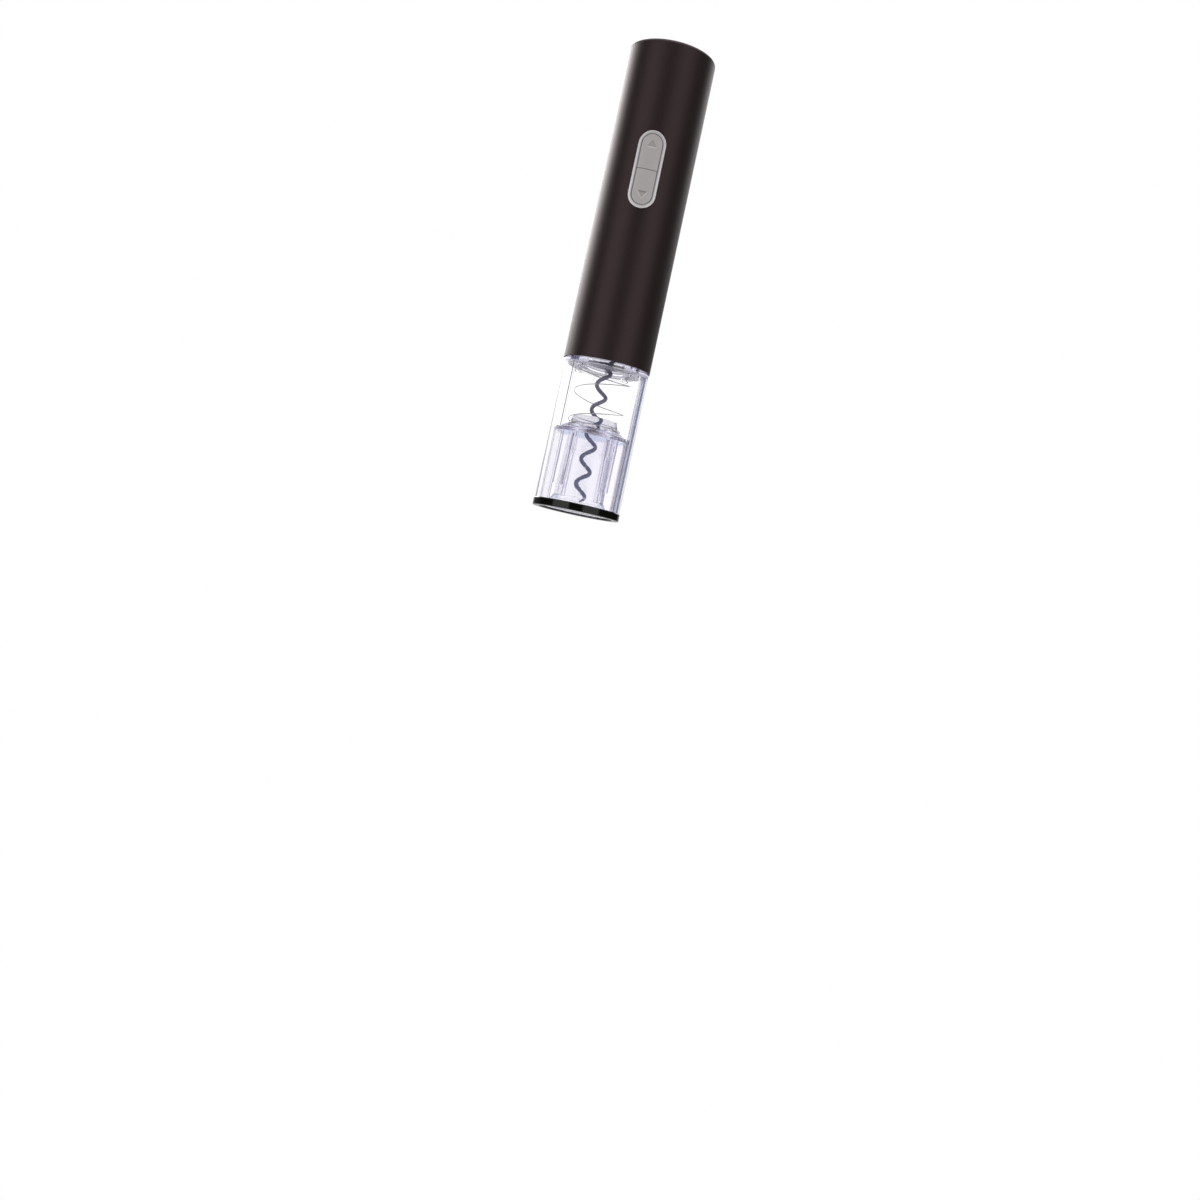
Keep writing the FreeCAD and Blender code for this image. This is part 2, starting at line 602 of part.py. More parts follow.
# ---- Motor ----
def motor_can():
    """Drawn steel can, open at the rear, with the bearing boss and the crimp notches."""
    z1 = MOTOR_Z0 + MOTOR_LENGTH
    outline = [(4.0, MOTOR_Z0 - MOTOR_BOSS_H), (MOTOR_BOSS_R, MOTOR_Z0 - MOTOR_BOSS_H)]
    outline += [(MOTOR_BOSS_R, MOTOR_Z0), (MOTOR_R - 0.8, MOTOR_Z0), (MOTOR_R, MOTOR_Z0 + 0.8)]
    outline += [(MOTOR_R, z1), (CAN_BORE, z1), (CAN_BORE, MOTOR_Z0 + CAN_WALL), (4.0, MOTOR_Z0 + CAN_WALL)]
    shell = turned(outline)
    screw_hole = cylinder(1.25, MOTOR_Z0 - 1, MOTOR_Z0 + 2, MOTOR_SCREW_ORBIT)
    vent = box(-2.5, 2.5, -8.4, -6.4, MOTOR_Z0 - 1, MOTOR_Z0 + 2)
    notch = box(-2.0, 2.0, MOTOR_R - 3, MOTOR_R + 1, z1 - 2.0, z1 + 1)
    return shell.cut(around(screw_hole, (0, 180)) + around(vent, (0, 180)) + around(notch, (45, 225)))


def arc_block(r_out, r_in, span, z0, z1):
    """Part of a thick tube that fills this angle either side of +X."""
    wedge = prism([(0, 0)] + [polar(2 * r_out, a) for a in (-span / 2, 0, span / 2)], z0, z1)
    return tube(r_out, r_in, z0, z1).common(wedge)


def motor_magnets():
    z0, z1 = ARMATURE_Z0 - 1.5, ARMATURE_Z0 + ARMATURE_H + 1.5
    magnet = arc_block(CAN_BORE, MAGNET_R_IN, MAGNET_SPAN, z0, z1)
    return Part.makeCompound(around(magnet, (0, 180)))


def motor_end_bell():
    """Moulded rear cover of the motor, with brush windows and the rear bearing's seat."""
    z1 = MOTOR_Z0 + MOTOR_LENGTH
    outline = [(BRUSH_RING_R, z1 - BELL_H), (CAN_BORE, z1 - BELL_H), (CAN_BORE, z1), (5.0, z1)]
    outline += [(5.0, z1 + 1.8), (3.0, z1 + 1.8), (3.0, z1 - 1.6), (BRUSH_RING_R, z1 - 1.6)]
    cover = turned(outline)
    lug = box(-1.9, 1.9, MOTOR_R - 3, MOTOR_R, z1 - 2.0, z1).common(cylinder(MOTOR_R, z1 - 3, z1 + 1))
    cover = joined(cover, around(lug, (45, 225)))
    slot = box(6.6, 7.1, -1.5, 1.5, z1 - BELL_H - 1, z1 + 1)
    return cover.cut(around(slot, (0, 180)))


def motor_brushes():
    """Two carbon blocks that bear on the commutator."""
    z1 = MOTOR_Z0 + MOTOR_LENGTH - BELL_H
    block = box(COMMUTATOR_R - 1, BRUSH_RING_R, -1.2, 1.2, z1 - 1.0, z1 + 1.8)
    block = block.common(tube(BRUSH_RING_R, COMMUTATOR_R + SHAFT_FIT, z1 - 3, z1 + 3))
    return Part.makeCompound(around(block, (0, 180)))


def motor_terminals():
    z1 = MOTOR_Z0 + MOTOR_LENGTH
    blade = box(6.6, 7.1, -1.5, 1.5, z1 - BELL_H, z1 + 5).cut(
        Part.makeCylinder(0.7, 3, V(5.5, 0, z1 + 3.2), V(1, 0, 0)))
    return Part.makeCompound(around(blade, (0, 180)))


def motor_bushes():
    """Sintered bearings at both ends of the shaft."""
    front = tube(4.0, SHAFT_R + SHAFT_FIT, MOTOR_Z0 - 1.6, MOTOR_Z0 + 1.4)
    rear = tube(3.0, SHAFT_R + SHAFT_FIT, MOTOR_Z0 + MOTOR_LENGTH - 1.6, MOTOR_Z0 + MOTOR_LENGTH + 1.8)
    return Part.makeCompound([front, rear])


def motor_shaft():
    foot = gear_band(0)[0] + 0.1
    return cylinder(SHAFT_R, foot, MOTOR_Z0 + MOTOR_LENGTH + 2.4)


def motor_pinion():
    """First sun gear, pressed on the motor's shaft."""
    foot, top = gear_band(0)
    return gear(SUN_TEETH, sun_phase(), foot + 0.1, top + 1.2).cut(cylinder(SHAFT_R, foot - 1, top + 3))


def armature_core():
    """Laminated core with five T-shaped poles."""
    z1 = ARMATURE_Z0 + ARMATURE_H
    hub = cylinder(3.2, ARMATURE_Z0, z1)
    leg = box(2.5, ARMATURE_R - 0.9, -1.2, 1.2, ARMATURE_Z0, z1)
    shoe = arc_block(ARMATURE_R, ARMATURE_R - 1.3, 360.0 / POLES - 16, ARMATURE_Z0, z1)
    pole = leg.fuse(shoe)
    return joined(hub, around(pole, spread(POLES))).cut(cylinder(SHAFT_R, ARMATURE_Z0 - 1, z1 + 1))


def armature_windings():
    """Copper coils round the poles: two end bundles joined by the wire in the slots."""
    low = ARMATURE_Z0 - 2.6
    high = ARMATURE_Z0 + ARMATURE_H
    edge = 0.8
    coil_r = ARMATURE_R - 1.6
    outline = [(2.4, low), (coil_r - edge, low), (coil_r, low + edge)]
    outline += [(coil_r, high + 2.6 - edge), (coil_r - edge, high + 2.6), (2.4, high + 2.6)]
    bundle = turned(outline)
    core = cylinder(3.2, ARMATURE_Z0, high)
    leg = box(2.0, ARMATURE_R, -1.2, 1.2, ARMATURE_Z0, high)
    return bundle.cut([core] + around(leg, spread(POLES)))


def commutator():
    """Copper segments on an insulating core, with a slot between each two."""
    z0 = ARMATURE_Z0 + ARMATURE_H + 2.6
    z1 = MOTOR_Z0 + MOTOR_LENGTH - 2.0
    drum = tube(COMMUTATOR_R, SHAFT_R, z0, z1)
    slot = box(COMMUTATOR_R - 0.5, COMMUTATOR_R + 1, -0.2, 0.2, z0 + 1.0, z1 + 1)
    return drum.cut(around(slot, spread(POLES, 36)))


# ---- Chassis ----
def boss_points():
    """(x, z) of the six screws that hold the halves together."""
    return [(side * BOSS_X, z) for z in BOSS_Z for side in (-1, 1)]


def chassis_shell():
    """Both halves of the inner frame as one tube with its cradles and screw bosses."""
    inner = CHASSIS_R - CHASSIS_WALL
    shell = tube(CHASSIS_R, inner, CHASSIS_Z0, CHASSIS_Z1)
    ribs = [tube(inner + 0.5, GEARBOX_R, z, z + RIB_H) for z in GEARBOX_RIB_Z]
    ribs += [tube(inner + 0.5, MOTOR_R, z, z + RIB_H) for z in MOTOR_RIB_Z]
    ribs += [tube(inner + 0.5, HOLDER_R - 4, CHASSIS_Z1 - RIB_H, CHASSIS_Z1)]
    bosses = [cross_cylinder(BOSS_R, -BOSS_DEPTH, BOSS_DEPTH, x, z) for x, z in boss_points()]
    body = joined(shell, ribs + bosses)
    rail_w = RAIL_W + 0.4
    groove = box(inner + 0.4, CHASSIS_R + 1, -rail_w / 2, rail_w / 2, CHASSIS_Z0 - 1, CHASSIS_Z1 + 1)
    return body.cut(around(groove, (0, 180)))


def chassis_front(whole):
    """Front half: blind screw holes, the window behind the keys and the board's shelves."""
    half = whole.common(box(-30, 30, -30, 0, 80, 210))
    inner = CHASSIS_R - CHASSIS_WALL
    window = box(-9.5, 9.5, -30, -13, KEYS_Z - 22, CHASSIS_Z1 + 1)
    board_gap = box(-BOARD_W / 2 - 0.2, BOARD_W / 2 + 0.2, -16.5, board_back_y(), KEYS_Z, CHASSIS_Z1 + 1)
    depth = BOSS_DEPTH - 1
    holes = [cross_cylinder(CHASSIS_SCREW_R, -depth, 0, x, z) for x, z in boss_points()]
    y1 = board_back_y()
    shelf = box(9.5, 30, y1, y1 + 1.6, KEYS_Z - 18, CHASSIS_Z1).common(cylinder(inner + 0.4, 100, 210))
    mirrored = shelf.mirror(ORIGIN, V(1, 0, 0))
    screw_holes = [cross_cylinder(0.8, y1 - 0.5, y1 + 2.5, x, z) for x, z in board_screw_points()]
    return joined(half.cut([window, board_gap] + holes), [shelf, mirrored]).cut(screw_holes)


def chassis_rear(whole):
    """Rear half: clearance holes, head recesses and driver holes for the screws."""
    half = whole.common(box(-30, 30, 0, 30, 80, 210))
    shanks = [cross_cylinder(1.2, -1, 11, x, z) for x, z in boss_points()]
    heads = [cross_cylinder(2.5, BOSS_DEPTH - 1.6, 30, x, z) for x, z in boss_points()]
    return half.cut(shanks + heads)


def chassis_screws():
    one = screw(2.2, 1.3, CHASSIS_SCREW_R, 9.0)
    return Part.makeCompound([placed(one, (x, BOSS_DEPTH - 1.6, z), (0, 1, 0)) for x, z in boss_points()])


# ---- Keys and switches ----
def button_bezel():
    """Pill-shaped frame whose face is concentric with the housing."""
    flange = pill(BEZEL_W, BEZEL_H, -30, -15).common(tube(BEZEL_R, BEZEL_FLANGE_R, 150, 240))
    collar = pill(BEZEL_W - 1.6, BEZEL_H - 1.6, -30, -15).common(tube(BEZEL_FLANGE_R, 22.9, 150, 240))
    opening = pill(BEZEL_OPENING_W, BEZEL_H - BEZEL_W + BEZEL_OPENING_W, -31, -14)
    frame = joined(flange, [collar]).cut(opening)
    rim = [e for e in frame.Edges if abs(e.CenterOfMass.y) > 24.6 and edge_radius(e) > BEZEL_R - 0.05]
    return frame.makeFillet(0.45, rim)


def edge_radius(edge):
    """Distance of an edge's middle from the axis."""
    p = edge.valueAt((edge.FirstParameter + edge.LastParameter) / 2.0)
    return math.hypot(p.x, p.y)


def arrow(direction):
    """Triangular recess that points along +Z or -Z."""
    z = KEYS_Z + direction * ARROW_OFFSET
    half = ARROW_H / 2.0
    corners = [V(-ARROW_W / 2, -30, z - direction * half), V(ARROW_W / 2, -30, z - direction * half)]
    corners.append(V(0, -30, z + direction * half))
    face = Part.Face(Part.makePolygon(corners + corners[:1]))
    return face.extrude(V(0, 30 - KEY_R + ARROW_DEPTH, 0))


def key(name):
    """One key: curved face, flange behind the bezel, hollow back and the stem to its switch."""
    direction = 1 if name == "up" else -1
    length = BEZEL_H - BEZEL_W + KEY_W
    face = pill(KEY_W, length, -30, KEY_FLANGE_Y).common(cylinder(KEY_R, 150, 240))
    flange = pill(KEY_W + 2 * KEY_FLANGE, length + 2 * KEY_FLANGE, KEY_FLANGE_Y, KEY_FLANGE_Y + 0.8)
    pocket = pill(KEY_W - 2.6, length - 2.6, -23.9, KEY_FLANGE_Y + 2)
    body = joined(face, [flange]).cut([pocket, arrow(direction)])
    gap = KEY_GAP / 2.0
    low, high = (KEYS_Z + gap, KEYS_Z + 40) if direction > 0 else (KEYS_Z - 40, KEYS_Z - gap)
    body = body.common(box(-20, 20, -30, 0, low, high))
    wall_z = KEYS_Z + direction * (gap + 0.6)
    end_wall = box(-KEY_W / 2 + 0.5, KEY_W / 2 - 0.5, -24.2, KEY_FLANGE_Y + 0.8, wall_z - 0.6, wall_z + 0.6)
    stem_z = KEYS_Z + SWITCH_OFFSETS[name]
    stem = cross_cylinder(1.5, -24.2, plunger_tip_y(), 0, stem_z)
    return joined(body, [end_wall, stem])


def plunger_tip_y():
    return SWITCH_FACE_Y - KEY_TRAVEL - 0.3


def switch_plunger(name):
    """Sliding pin of one switch, which the key's stem rests on."""
    y = plunger_tip_y()
    return cross_cylinder(PLUNGER_R, y, y + 2.2, 0, KEYS_Z + SWITCH_OFFSETS[name])


def switch_bodies():
    """Two small snap-action switches lying across the board."""
    width, depth, height = SWITCH_SIZE
    bodies = []
    for offset in SWITCH_OFFSETS.values():
        z = KEYS_Z + offset
        low, high = z - height / 2, z + height / 2
        case = box(-width / 2, width / 2, SWITCH_FACE_Y, SWITCH_FACE_Y + depth, low, high)
        hole = cross_cylinder(PLUNGER_R + SHAFT_FIT, SWITCH_FACE_Y - 0.1, SWITCH_FACE_Y + 2.3, 0, z)
        bodies.append(case.cut(hole))
    return Part.makeCompound(bodies)


def board_back_y():
    return SWITCH_FACE_Y + SWITCH_SIZE[1] + BOARD_T


def board_screw_points():
    """(x, z) of the four screws that hold the board to its shelves."""
    return [(s * 12.5, KEYS_Z + dz) for s in (-1, 1) for dz in (-13.0, 5.0)]


def circuit_board():
    y1 = board_back_y()
    board = box(-BOARD_W / 2, BOARD_W / 2, y1 - BOARD_T, y1, KEYS_Z - 16, KEYS_Z + 8)
    return board.cut([cross_cylinder(1.1, y1 - 3, y1 + 1, x, z) for x, z in board_screw_points()])


def board_screws():
    one = screw(1.8, 1.1, 0.8, 3.6)
    y = board_back_y() - BOARD_T
    return Part.makeCompound([placed(one, (x, y, z), (0, -1, 0)) for x, z in board_screw_points()])


# ---- Leads ----
def lead(x, y0, z0, y1, z1, bend_z, bend_h):
    """Insulated lead up from (x, y0, z0), across in an S of two equal arcs, and on to (x, y1, z1)."""
    side = 1 if y1 > y0 else -1
    half = math.atan2(abs(y1 - y0), bend_h)
    radius = bend_h / (2 * math.sin(2 * half))
    first = V(x, y0, bend_z)
    middle = V(x, (y0 + y1) / 2, bend_z + bend_h / 2)
    last = V(x, y1, bend_z + bend_h)
    on_first = V(x, y0 + side * radius * (1 - math.cos(half)), bend_z + radius * math.sin(half))
    on_last = middle * 2 - on_first
    arcs = [Part.Arc(first, on_first, middle), Part.Arc(middle, on_last, last)]
    runs = [Part.LineSegment(V(x, y0, z0), first), Part.LineSegment(last, V(x, y1, z1))]
    path = Part.Wire([piece.toShape() for piece in (runs[0], arcs[0], arcs[1], runs[1])])
    section = wire_section(LEAD_R, LEAD_SIDES, V(x, y0, z0), AXIS, V(1, 0, 0))
    return path.makePipeShell([section], True, True)


def lead_wires():
    """Two leads from the motor and two from the cells, each soldered to the back of the board."""
    back = board_back_y()
    on_board = back + LEAD_R + 0.02
    leads = []
    for side in (-1, 1):
        x = side * MOTOR_LEAD_X
        foot = MOTOR_Z0 + MOTOR_LENGTH + 2.0
        wire = lead(x, 0, foot, on_board, foot + 25.5, foot + 4.5, 19.0)
        leads.append(joined(wire, [cross_cylinder(SOLDER_R, back, on_board, x, foot + 24.4)]))
    for x, side, bend_z, bend_h in CELL_LEADS:
        wire = lead(x, on_board, bend_z - 2.0, side * CELL_POINT, HOLDER_Z0 + HOLDER_FLOOR, bend_z, bend_h)
        leads.append(joined(wire, [cross_cylinder(SOLDER_R, back, on_board, x, bend_z - 1.0)]))
    return Part.makeCompound(leads)


# ---- Battery bay ----
def battery_holder():
    """Four thin wells moulded together on a floor, with fins that centre them in the housing."""
    floor_top = HOLDER_Z0 + HOLDER_FLOOR
    fin_r = BODY_R - HOUSING_WALL - 0.1
    floor = cylinder(HOLDER_R, HOLDER_Z0, floor_top)
    wall = cylinder(WELL_R + WELL_WALL, HOLDER_Z0, HOLDER_TOP, CELL_ORBIT)
    web = box(0, HOLDER_R - 1, -0.8, 0.8, HOLDER_Z0, HOLDER_TOP - 6)
    fin = box(CELL_ORBIT, fin_r, -0.8, 0.8, HOLDER_Z0 + 14, HOLDER_TOP - 6)
    fin = fin.common(cylinder(fin_r, HOLDER_Z0, HOLDER_TOP))
    ring = tube(fin_r, HOLDER_R - 0.8, HOLDER_TOP - 8, HOLDER_TOP - 6)
    block = joined(floor, around(wall, CELL_ANGLES) + around(web.fuse(fin), spread(4)) + [ring])
    well = cylinder(WELL_R, floor_top, HOLDER_TOP + 1, CELL_ORBIT)
    bridge = box(-CELL_ORBIT, -4, -2.8, 2.8, floor_top, floor_top + 1.2)
    lead_holes = [cylinder(LEAD_R + 0.2, HOLDER_Z0 - 1, floor_top + 1, x, side * CELL_POINT)
                  for x, side, bend_z, bend_h in CELL_LEADS]
    return block.cut(around(well, CELL_ANGLES) + [bridge] + lead_holes)


def battery_cell(index):
    """One cell, its raised terminal alternately up and down."""
    nub = 1.0
    outline = [(0, 0), (CELL_R - 0.6, 0), (CELL_R, 0.6), (CELL_R, CELL_H - nub - 0.6)]
    outline += [(CELL_R - 0.6, CELL_H - nub), (2.7, CELL_H - nub), (2.7, CELL_H), (0, CELL_H)]
    cell = turned(outline)
    if index % 2:
        cell.rotate(V(0, 0, CELL_H / 2), V(1, 0, 0), 180)
    cell.translate(V(*polar(CELL_ORBIT, CELL_ANGLES[index]), CELL_Z0))
    return cell


def battery_cells():
    return Part.makeCompound([battery_cell(i) for i in range(len(CELL_ANGLES))])


def contact_strip(first, last, z, side):
    """Sheet-metal strip between two cells, with a domed tongue under each (side is +1 up or -1 down)."""
    points = [V(*polar(CELL_ORBIT, CELL_ANGLES[i % 4]), z) for i in sorted({first, last})]
    pads = [Part.makeCylinder(4.4, STRIP_T, p) for p in points]
    if first != last:
        a, b = points
        along = (b - a).normalize()
        across = V(-along.y, along.x, 0) * 2.5
        corners = [a + across, b + across, b - across, a - across]
        pads.append(Part.Face(Part.makePolygon(corners + corners[:1])).extrude(V(0, 0, STRIP_T)))
    base = z + STRIP_T if side > 0 else z
    domes = [Part.makeCone(3.0, 1.6, 0.75, V(p.x, p.y, base), V(0, 0, side)) for p in points]
    return joined(pads[0], pads[1:] + domes)


def base_contacts():
    """Strips on the bay's floor: one bridge and the two output terminals."""
    z = HOLDER_Z0 + HOLDER_FLOOR
    return Part.makeCompound([contact_strip(a, b, z, 1) for a, b in ((1, 2), (0, 0), (3, 3))])


def cap_contacts():
    """Two bridging strips under the battery cap."""
    z = CAP_FRAME_Z - STRIP_T
    return Part.makeCompound([contact_strip(0, 1, z, -1), contact_strip(2, 3, z, -1)])


def battery_cap():
    """Cap with a rounded rim, a plug that enters the housing and the frame for its contacts."""
    plug_in = CAP_PLUG_R - 1.6
    outline = [(0, CAP_SEAM_Z), (BODY_R, CAP_SEAM_Z), (BODY_R, TOTAL_H), (0, TOTAL_H)]
    disc = turned(outline)
    top_edge = [e for e in disc.Edges if e.BoundBox.ZMin > TOTAL_H - 0.01 and e.BoundBox.XLength > 40]
    disc = disc.makeFillet(CAP_RIM - 0.4, top_edge)
    plug = tube(CAP_PLUG_R, plug_in, CAP_FRAME_Z + 1.4, CAP_SEAM_Z)
    frame = tube(17.2, 15.6, CAP_FRAME_Z, CAP_SEAM_Z)
    bar = box(-17, 17, -0.9, 0.9, CAP_FRAME_Z, CAP_SEAM_Z)
    return joined(disc, [plug, frame] + around(bar, (45, 135)))


def barrel_screws():
    one = screw(2.0, 1.3, BARREL_SCREW_R, 3.3)
    points = [polar(BARREL_SCREW_ORBIT, a) for a in spread(3, 90)]
    return Part.makeCompound([placed(one, (x, y, BARREL_SCREW_SEAT)) for x, y in points])


def gearbox_screws():
    one = screw(1.7, 1.2, GEARBOX_SCREW_R, MOTOR_Z0 - BARREL_TOP - 1.2)
    points = [polar(GEARBOX_SCREW_ORBIT, a) for a in spread(3, 30)]
    return Part.makeCompound([placed(one, (x, y, MOTOR_Z0)) for x, y in points])


def motor_screws():
    one = screw(2.1, 1.3, 1.2, 4.6)
    return Part.makeCompound([placed(one, (x, 0, RING_TOP + 1.5), (0, 0, -1)) for x in (-8.0, 8.0)])


def all_pieces():
    pieces = {
        "housing_tube": housing_tube(),
        "trim_ring": trim_ring(),
        "clear_barrel": clear_barrel(),
        "neck_sleeve": neck_sleeve(),
        "return_spring": return_spring(),
        "worm": worm(),
        "worm_hub": worm_hub(),
        "gearbox_nose": gearbox_nose(),
        "output_bush": output_bush(),
        "thrust_washer": thrust_washer(),
        "ring_gear": ring_gear(),
        "motor_plate": motor_plate(),
        "motor_can": motor_can(),
        "motor_magnets": motor_magnets(),
        "motor_end_bell": motor_end_bell(),
        "motor_brushes": motor_brushes(),
        "motor_terminals": motor_terminals(),
        "motor_bushes": motor_bushes(),
        "motor_shaft": motor_shaft(),
        "motor_pinion": motor_pinion(),
        "armature_core": armature_core(),
        "armature_windings": armature_windings(),
        "commutator": commutator(),
        "chassis_screws": chassis_screws(),
        "barrel_screws": barrel_screws(),
        "gearbox_screws": gearbox_screws(),
        "motor_screws": motor_screws(),
        "button_bezel": button_bezel(),
        "switch_bodies": switch_bodies(),
        "circuit_board": circuit_board(),
        "board_screws": board_screws(),
        "lead_wires": lead_wires(),
        "battery_holder": battery_holder(),
        "battery_cells": battery_cells(),
        "base_contacts": base_contacts(),
        "battery_cap": battery_cap(),
        "cap_contacts": cap_contacts(),
    }
    frame = chassis_shell()
    pieces["chassis_front"] = chassis_front(frame)
    pieces["chassis_rear"] = chassis_rear(frame)
    for name in SWITCH_OFFSETS:
        pieces["key_" + name] = key(name)
        pieces["switch_plunger_" + name] = switch_plunger(name)
    for stage, values in enumerate(STAGES):
        pieces[values[0] + "_carrier"] = carrier(stage)
        pieces[values[0] + "_planet_pins"] = planet_pins(stage)
        for number, angle in enumerate(PLANET_ANGLES, 1):
            pieces["%s_planet_%d" % (values[0], number)] = planet(stage, angle)
    return pieces


os.makedirs("parts", exist_ok=True)
for node, shape in all_pieces().items():
    shape.exportStep("parts/%s.step" % node)
    print("%-22s solids %d valid %s volume %.0f" % (node, len(shape.Solids), shape.isValid(), shape.Volume))
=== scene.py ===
# %% [markdown]
# # An electric wine opener
# The opener is a slim dark tube with two keys. Below it hangs a clear barrel, and inside the
# barrel are the worm, a light spring and a clear sleeve that sits on the bottle. The engineering
# model already exists, so this lesson starts from it: it gives every part a finish, and remakes
# the two parts that deserve a finer shape, the worm and the spring.

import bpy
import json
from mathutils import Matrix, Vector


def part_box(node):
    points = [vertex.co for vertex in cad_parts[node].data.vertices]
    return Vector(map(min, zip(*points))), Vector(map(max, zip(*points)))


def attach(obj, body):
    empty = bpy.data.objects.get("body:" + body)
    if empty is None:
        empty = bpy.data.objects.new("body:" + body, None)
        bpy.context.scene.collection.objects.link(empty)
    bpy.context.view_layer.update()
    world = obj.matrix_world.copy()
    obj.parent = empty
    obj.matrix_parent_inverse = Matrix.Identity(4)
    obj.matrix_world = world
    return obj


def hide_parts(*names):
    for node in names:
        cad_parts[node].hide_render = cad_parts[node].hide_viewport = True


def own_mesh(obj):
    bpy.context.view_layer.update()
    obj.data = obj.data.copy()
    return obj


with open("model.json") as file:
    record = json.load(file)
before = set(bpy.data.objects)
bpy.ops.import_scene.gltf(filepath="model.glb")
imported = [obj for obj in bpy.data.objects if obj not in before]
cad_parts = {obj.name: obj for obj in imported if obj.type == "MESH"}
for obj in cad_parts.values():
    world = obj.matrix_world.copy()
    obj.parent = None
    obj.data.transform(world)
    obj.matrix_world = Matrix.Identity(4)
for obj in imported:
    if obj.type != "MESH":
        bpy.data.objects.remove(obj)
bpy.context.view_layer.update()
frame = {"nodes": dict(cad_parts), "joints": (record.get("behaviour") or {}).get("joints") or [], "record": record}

# %% [markdown]
# ## Units and a ruler
# Blender counts in metres, and the details here are a few millimetres across, so a length is
# written as a number times MM. Where a part's place can be read from the model it is read:
# span() asks how far a part reaches along one axis.

# %% Units and a ruler
import json
import math

import bpy
import numpy as np
from mathutils import Matrix, Vector

MM = 0.001
NODES = frame["nodes"]


def span(node, axis=2):
    """Lowest and highest value of a part along one axis, in metres: 0, 1 or 2 for x, y or z."""
    low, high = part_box(node)
    return low[axis], high[axis]


# %% [markdown]
# ## Shader sums written as Python
# A material is a network of small nodes. Wiring sums by hand is slow to read, so one small class
# wraps a socket and lets Python's own signs add the Math nodes: `1 - mask` or `0.3 + 0.1 * noise`
# reads as it would on paper. A second class holds the tree and makes every other kind of node.

# %% A socket that can be added and multiplied
class Value:
    """One result of a node. Each sign adds a Math node to the tree, and so does abs()."""

    def __init__(self, owner, socket):
        self.owner, self.socket = owner, socket

    def _sum(self, operation, *terms):
        return self.owner.node("ShaderNodeMath", {"operation": operation}, *terms)

    def __add__(self, other):
        return self._sum("ADD", self, other)

    def __sub__(self, other):
        return self._sum("SUBTRACT", self, other)

    def __rsub__(self, other):
        return self._sum("SUBTRACT", other, self)

    def __mul__(self, other):
        return self._sum("MULTIPLY", self, other)

    def __gt__(self, other):
        return self._sum("GREATER_THAN", self, other)

    def __lt__(self, other):
        return self._sum("LESS_THAN", self, other)

    def __pow__(self, other):
        return self._sum("POWER", self, other)

    def __abs__(self):
        return self._sum("ABSOLUTE", self)

    __radd__, __rmul__ = __add__, __mul__


print("signs understood: + - * ** > < and abs()")

# %% A tree that makes nodes
class Nodes:
    """A node tree and short ways to add to it."""

    def __init__(self, tree):
        self.tree = tree
        tree.nodes.clear()

    def feed(self, socket, value):
        """Puts a number, a vector, a colour of three parts or a node's result into a socket."""
        if isinstance(value, Value):
            self.tree.links.new(value.socket, socket)
        elif socket.type == "RGBA":
            socket.default_value = (*value, 1.0)
        else:
            socket.default_value = value

    def node(self, kind, settings=None, *terms, out=0, **sockets):
        """Any node: its type, its settings, the values of its first sockets in turn, and others
        by name. `out` names or counts the result that is wanted."""
        made = self.tree.nodes.new(kind)
        for key, value in (settings or {}).items():
            setattr(made, key, value)
        for socket, value in zip(made.inputs, terms):
            self.feed(socket, value)
        for key, value in sockets.items():
            self.feed(made.inputs[key.replace("_", " ")], value)
        return Value(self, made.outputs[out])

    def vector(self, operation, *terms, out=0):
        """Vector Math. Its result is a vector, or a number when out is 1."""
        return self.node("ShaderNodeVectorMath", {"operation": operation}, *terms, out=out)

    def coordinate(self, vector, index):
        """One coordinate of a vector: 0, 1 or 2 for x, y or z."""
        return self.node("ShaderNodeSeparateXYZ", None, vector, out=index)

    def ray(self, question):
        """What is known of the ray being traced, such as "Is Camera Ray"."""
        return self.node("ShaderNodeLightPath", out=question)

    def fade(self, value, start, end, low=0.0, high=1.0):
        """Goes smoothly from low to high while value goes from start to end."""
        smoothly = {"interpolation_type": "SMOOTHSTEP"}
        return self.node("ShaderNodeMapRange", smoothly, value, start, end, low, high)

    def mix(self, share, first, second):
        """Colour that goes from first to second as share goes from 0 to 1."""
        made = self.tree.nodes.new("ShaderNodeMix")
        made.data_type = "RGBA"
        for index, value in ((0, share), (6, first), (7, second)):    # its sockets for colours
            self.feed(made.inputs[index], value)
        return Value(self, made.outputs[2])

    def blend(self, share, first, second):
        """Shader that goes from first to second as share goes from 0 to 1."""
        return self.node("ShaderNodeMixShader", None, share, first, second)


print("shortcuts of a tree:", ", ".join(name for name in vars(Nodes) if name[0] != "_"))

# %% [markdown]
# ## One class for every finish
# Each finish below is a Principled shader, and most of its colour, roughness and relief come from
# noise. The noise is read at the point on the part, so it stays put when the part moves.

